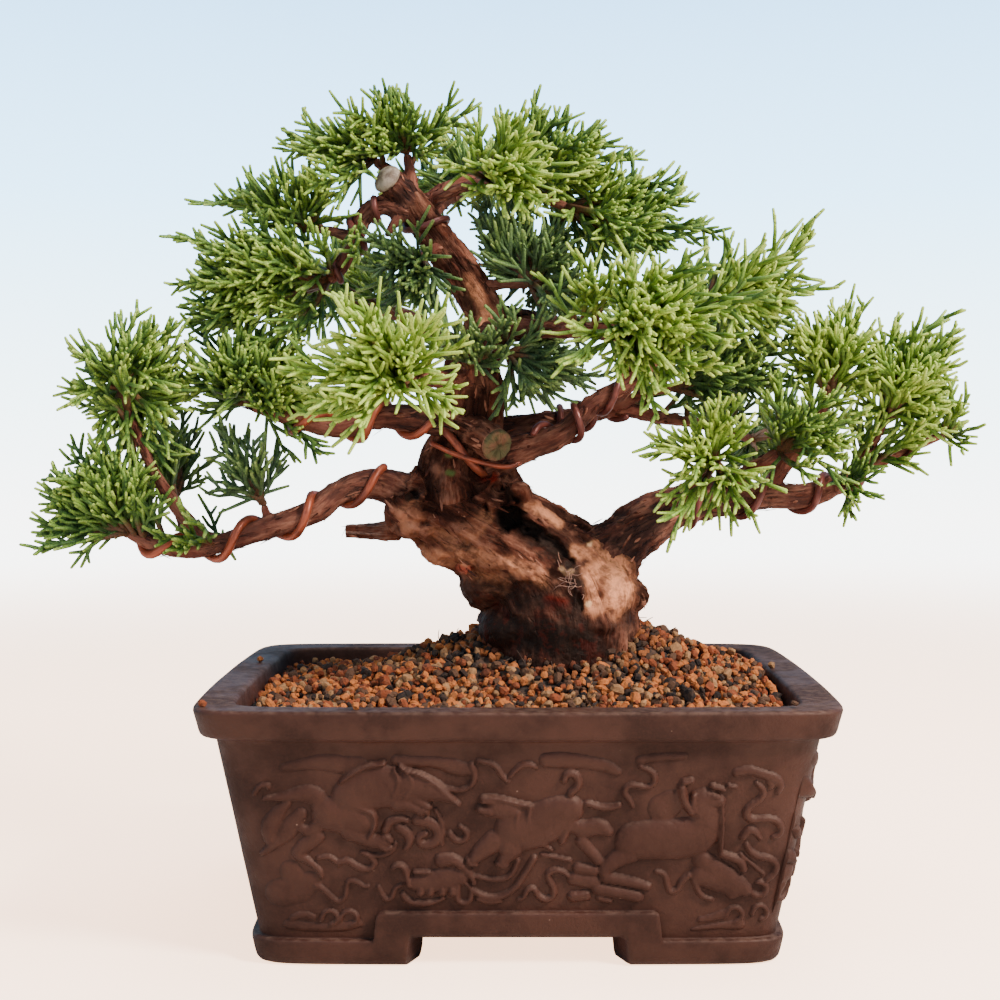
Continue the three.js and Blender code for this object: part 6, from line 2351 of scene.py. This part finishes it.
@dataclass
class Studio:
    """Pale floor, pale backdrop, soft lights and the camera."""

    lens: float = 55.66
    camera_place: Triple = (-0.002, -0.439, 0.1339)
    shift: Pair = (-0.010, -0.064)
    look_at: Triple = (0.0, 0.0, 0.12)
    floor_half: float = 3.0
    wall_sides: int = 96
    wall_heights: tuple[float, ...] = (-1.0, 400.0, 1500.0, 3000.0)
    far_glow: float = 6.4  # the backdrop as the camera sees it
    room_glow: float = 1.1  # the backdrop as it lights the tree

    def camera(self) -> None:
        """Places the camera at the photograph's viewing angle."""
        data = bpy.data.cameras.new("camera")
        data.lens, data.sensor_width = self.lens, 36.0
        data.clip_start = 0.01
        camera = bpy.data.objects.new("camera", data)
        camera.location = self.camera_place
        data.shift_x, data.shift_y = self.shift
        camera.rotation_euler = (math.pi / 2, 0, 0)
        bpy.context.scene.collection.objects.link(camera)
        bpy.context.scene.camera = camera

    def lights(self) -> None:
        """Hangs the lamps, each facing the tree's middle."""
        for lamp in LAMPS:
            data = bpy.data.lights.new(lamp.name, "AREA")
            data.size, data.energy, data.color = lamp.side, lamp.power, lamp.colour
            light = bpy.data.objects.new(lamp.name, data)
            light.location = lamp.place
            x, y, z = np.array(self.look_at) - np.array(lamp.place)
            light.rotation_euler = (math.atan2(math.hypot(x, y), -z), 0,
                                    math.atan2(y, x) - math.pi / 2)
            bpy.context.scene.collection.objects.link(light)
        world = bpy.data.worlds.new("soft_sky")
        world.use_nodes = True
        sky = world.node_tree.nodes["Background"]
        sky.inputs[0].default_value = tint(0.90, 0.95, 1.0)
        sky.inputs[1].default_value = 0.55
        bpy.context.scene.world = world

    def floor(self) -> None:
        """Lays a square floor and raises a round wall, both staged."""
        half = self.floor_half / MM
        corners = np.array([[-half, -half, 0], [half, -half, 0], [half, half, 0],
                            [-half, half, 0]], float)
        floor = build_object("floor", corners, [np.array([[0, 1, 2, 3]])], smooth=False)
        material, desk = new_material("pale_floor")
        place = desk.place()
        cloud = desk.noise(place, 3.0, 2.0)
        colour = desk.mix(cloud, (0.92, 0.76, 0.64, 1.0), (0.95, 0.82, 0.72, 1.0))
        away = desk.add("VectorMath", {0: place}, operation="LENGTH").outputs["Value"]
        far = desk.span(away, 0.25, 1.5)
        seen = desk.add("LightPath", {}).outputs["Is Camera Ray"]
        near_glow, far_glow = (1.0, 0.62, 0.40, 1.0), (0.98, 1.0, 0.99, 1.0)
        glow = desk.times(seen, desk.span(far, 0.0, 1.0, 3.8, self.far_glow))
        desk.finish(desk.mix(far, colour, (0.0, 0.0, 0.0, 1.0)), 0.8, gloss=0.0, more={
            "Emission Strength": glow, "Emission Color": desk.mix(far, near_glow, far_glow)})
        floor.data.materials.append(material)
        sides = self.wall_sides
        turn = np.linspace(0, 2 * np.pi, sides + 1)[:-1]
        ring = np.stack([np.cos(turn), np.sin(turn)], axis=1) * half * 0.75
        rows = [np.column_stack([ring, np.full(sides, z)]) for z in self.wall_heights]
        wall = build_object("backdrop", np.concatenate(rows), [
            ring_faces(len(rows), sides, True)[:, ::-1]])
        material, desk = new_material("pale_backdrop")
        height = desk.add("SeparateXYZ", {0: desk.place()}).outputs[2]
        share = desk.add("MapRange", {0: height, 1: 0.0, 2: 1.0}).outputs[0]
        colour = desk.ramp(share, ((0.0, (0.98, 1.0, 0.99, 1.0)), (0.2, (0.74, 0.93, 1.0, 1.0)),
                                   (0.55, (0.36, 0.70, 1.0, 1.0)), (1.0, (0.17, 0.40, 0.70, 1.0))))
        seen = desk.add("LightPath", {}).outputs["Is Camera Ray"]
        glow = desk.add("Emission", {"Color": colour, "Strength": desk.span(
            seen, 0.0, 1.0, self.room_glow, self.far_glow)})
        output = desk.tree.nodes.new("ShaderNodeOutputMaterial")
        desk.tree.links.new(glow.outputs[0], output.inputs[0])
        wall.data.materials.append(material)

    def make(self) -> None:
        """Sets up the studio."""
        self.camera()
        self.lights()
        self.floor()


def main() -> None:
    """Builds the pot, soil, wood, wires, paste, foliage and studio."""
    logging.basicConfig(level=logging.INFO, format="%(name)s: %(message)s")
    effects = Effects.build()
    Studio().make()
    Pot().make(effects)
    Soil().make(effects)
    Wood().make(effects)
    TrainingWires().make(effects)
    CutPaste().make(effects)
    DrainScreens().make()
    Foliage().make()


if __name__ == "__main__":
    main()
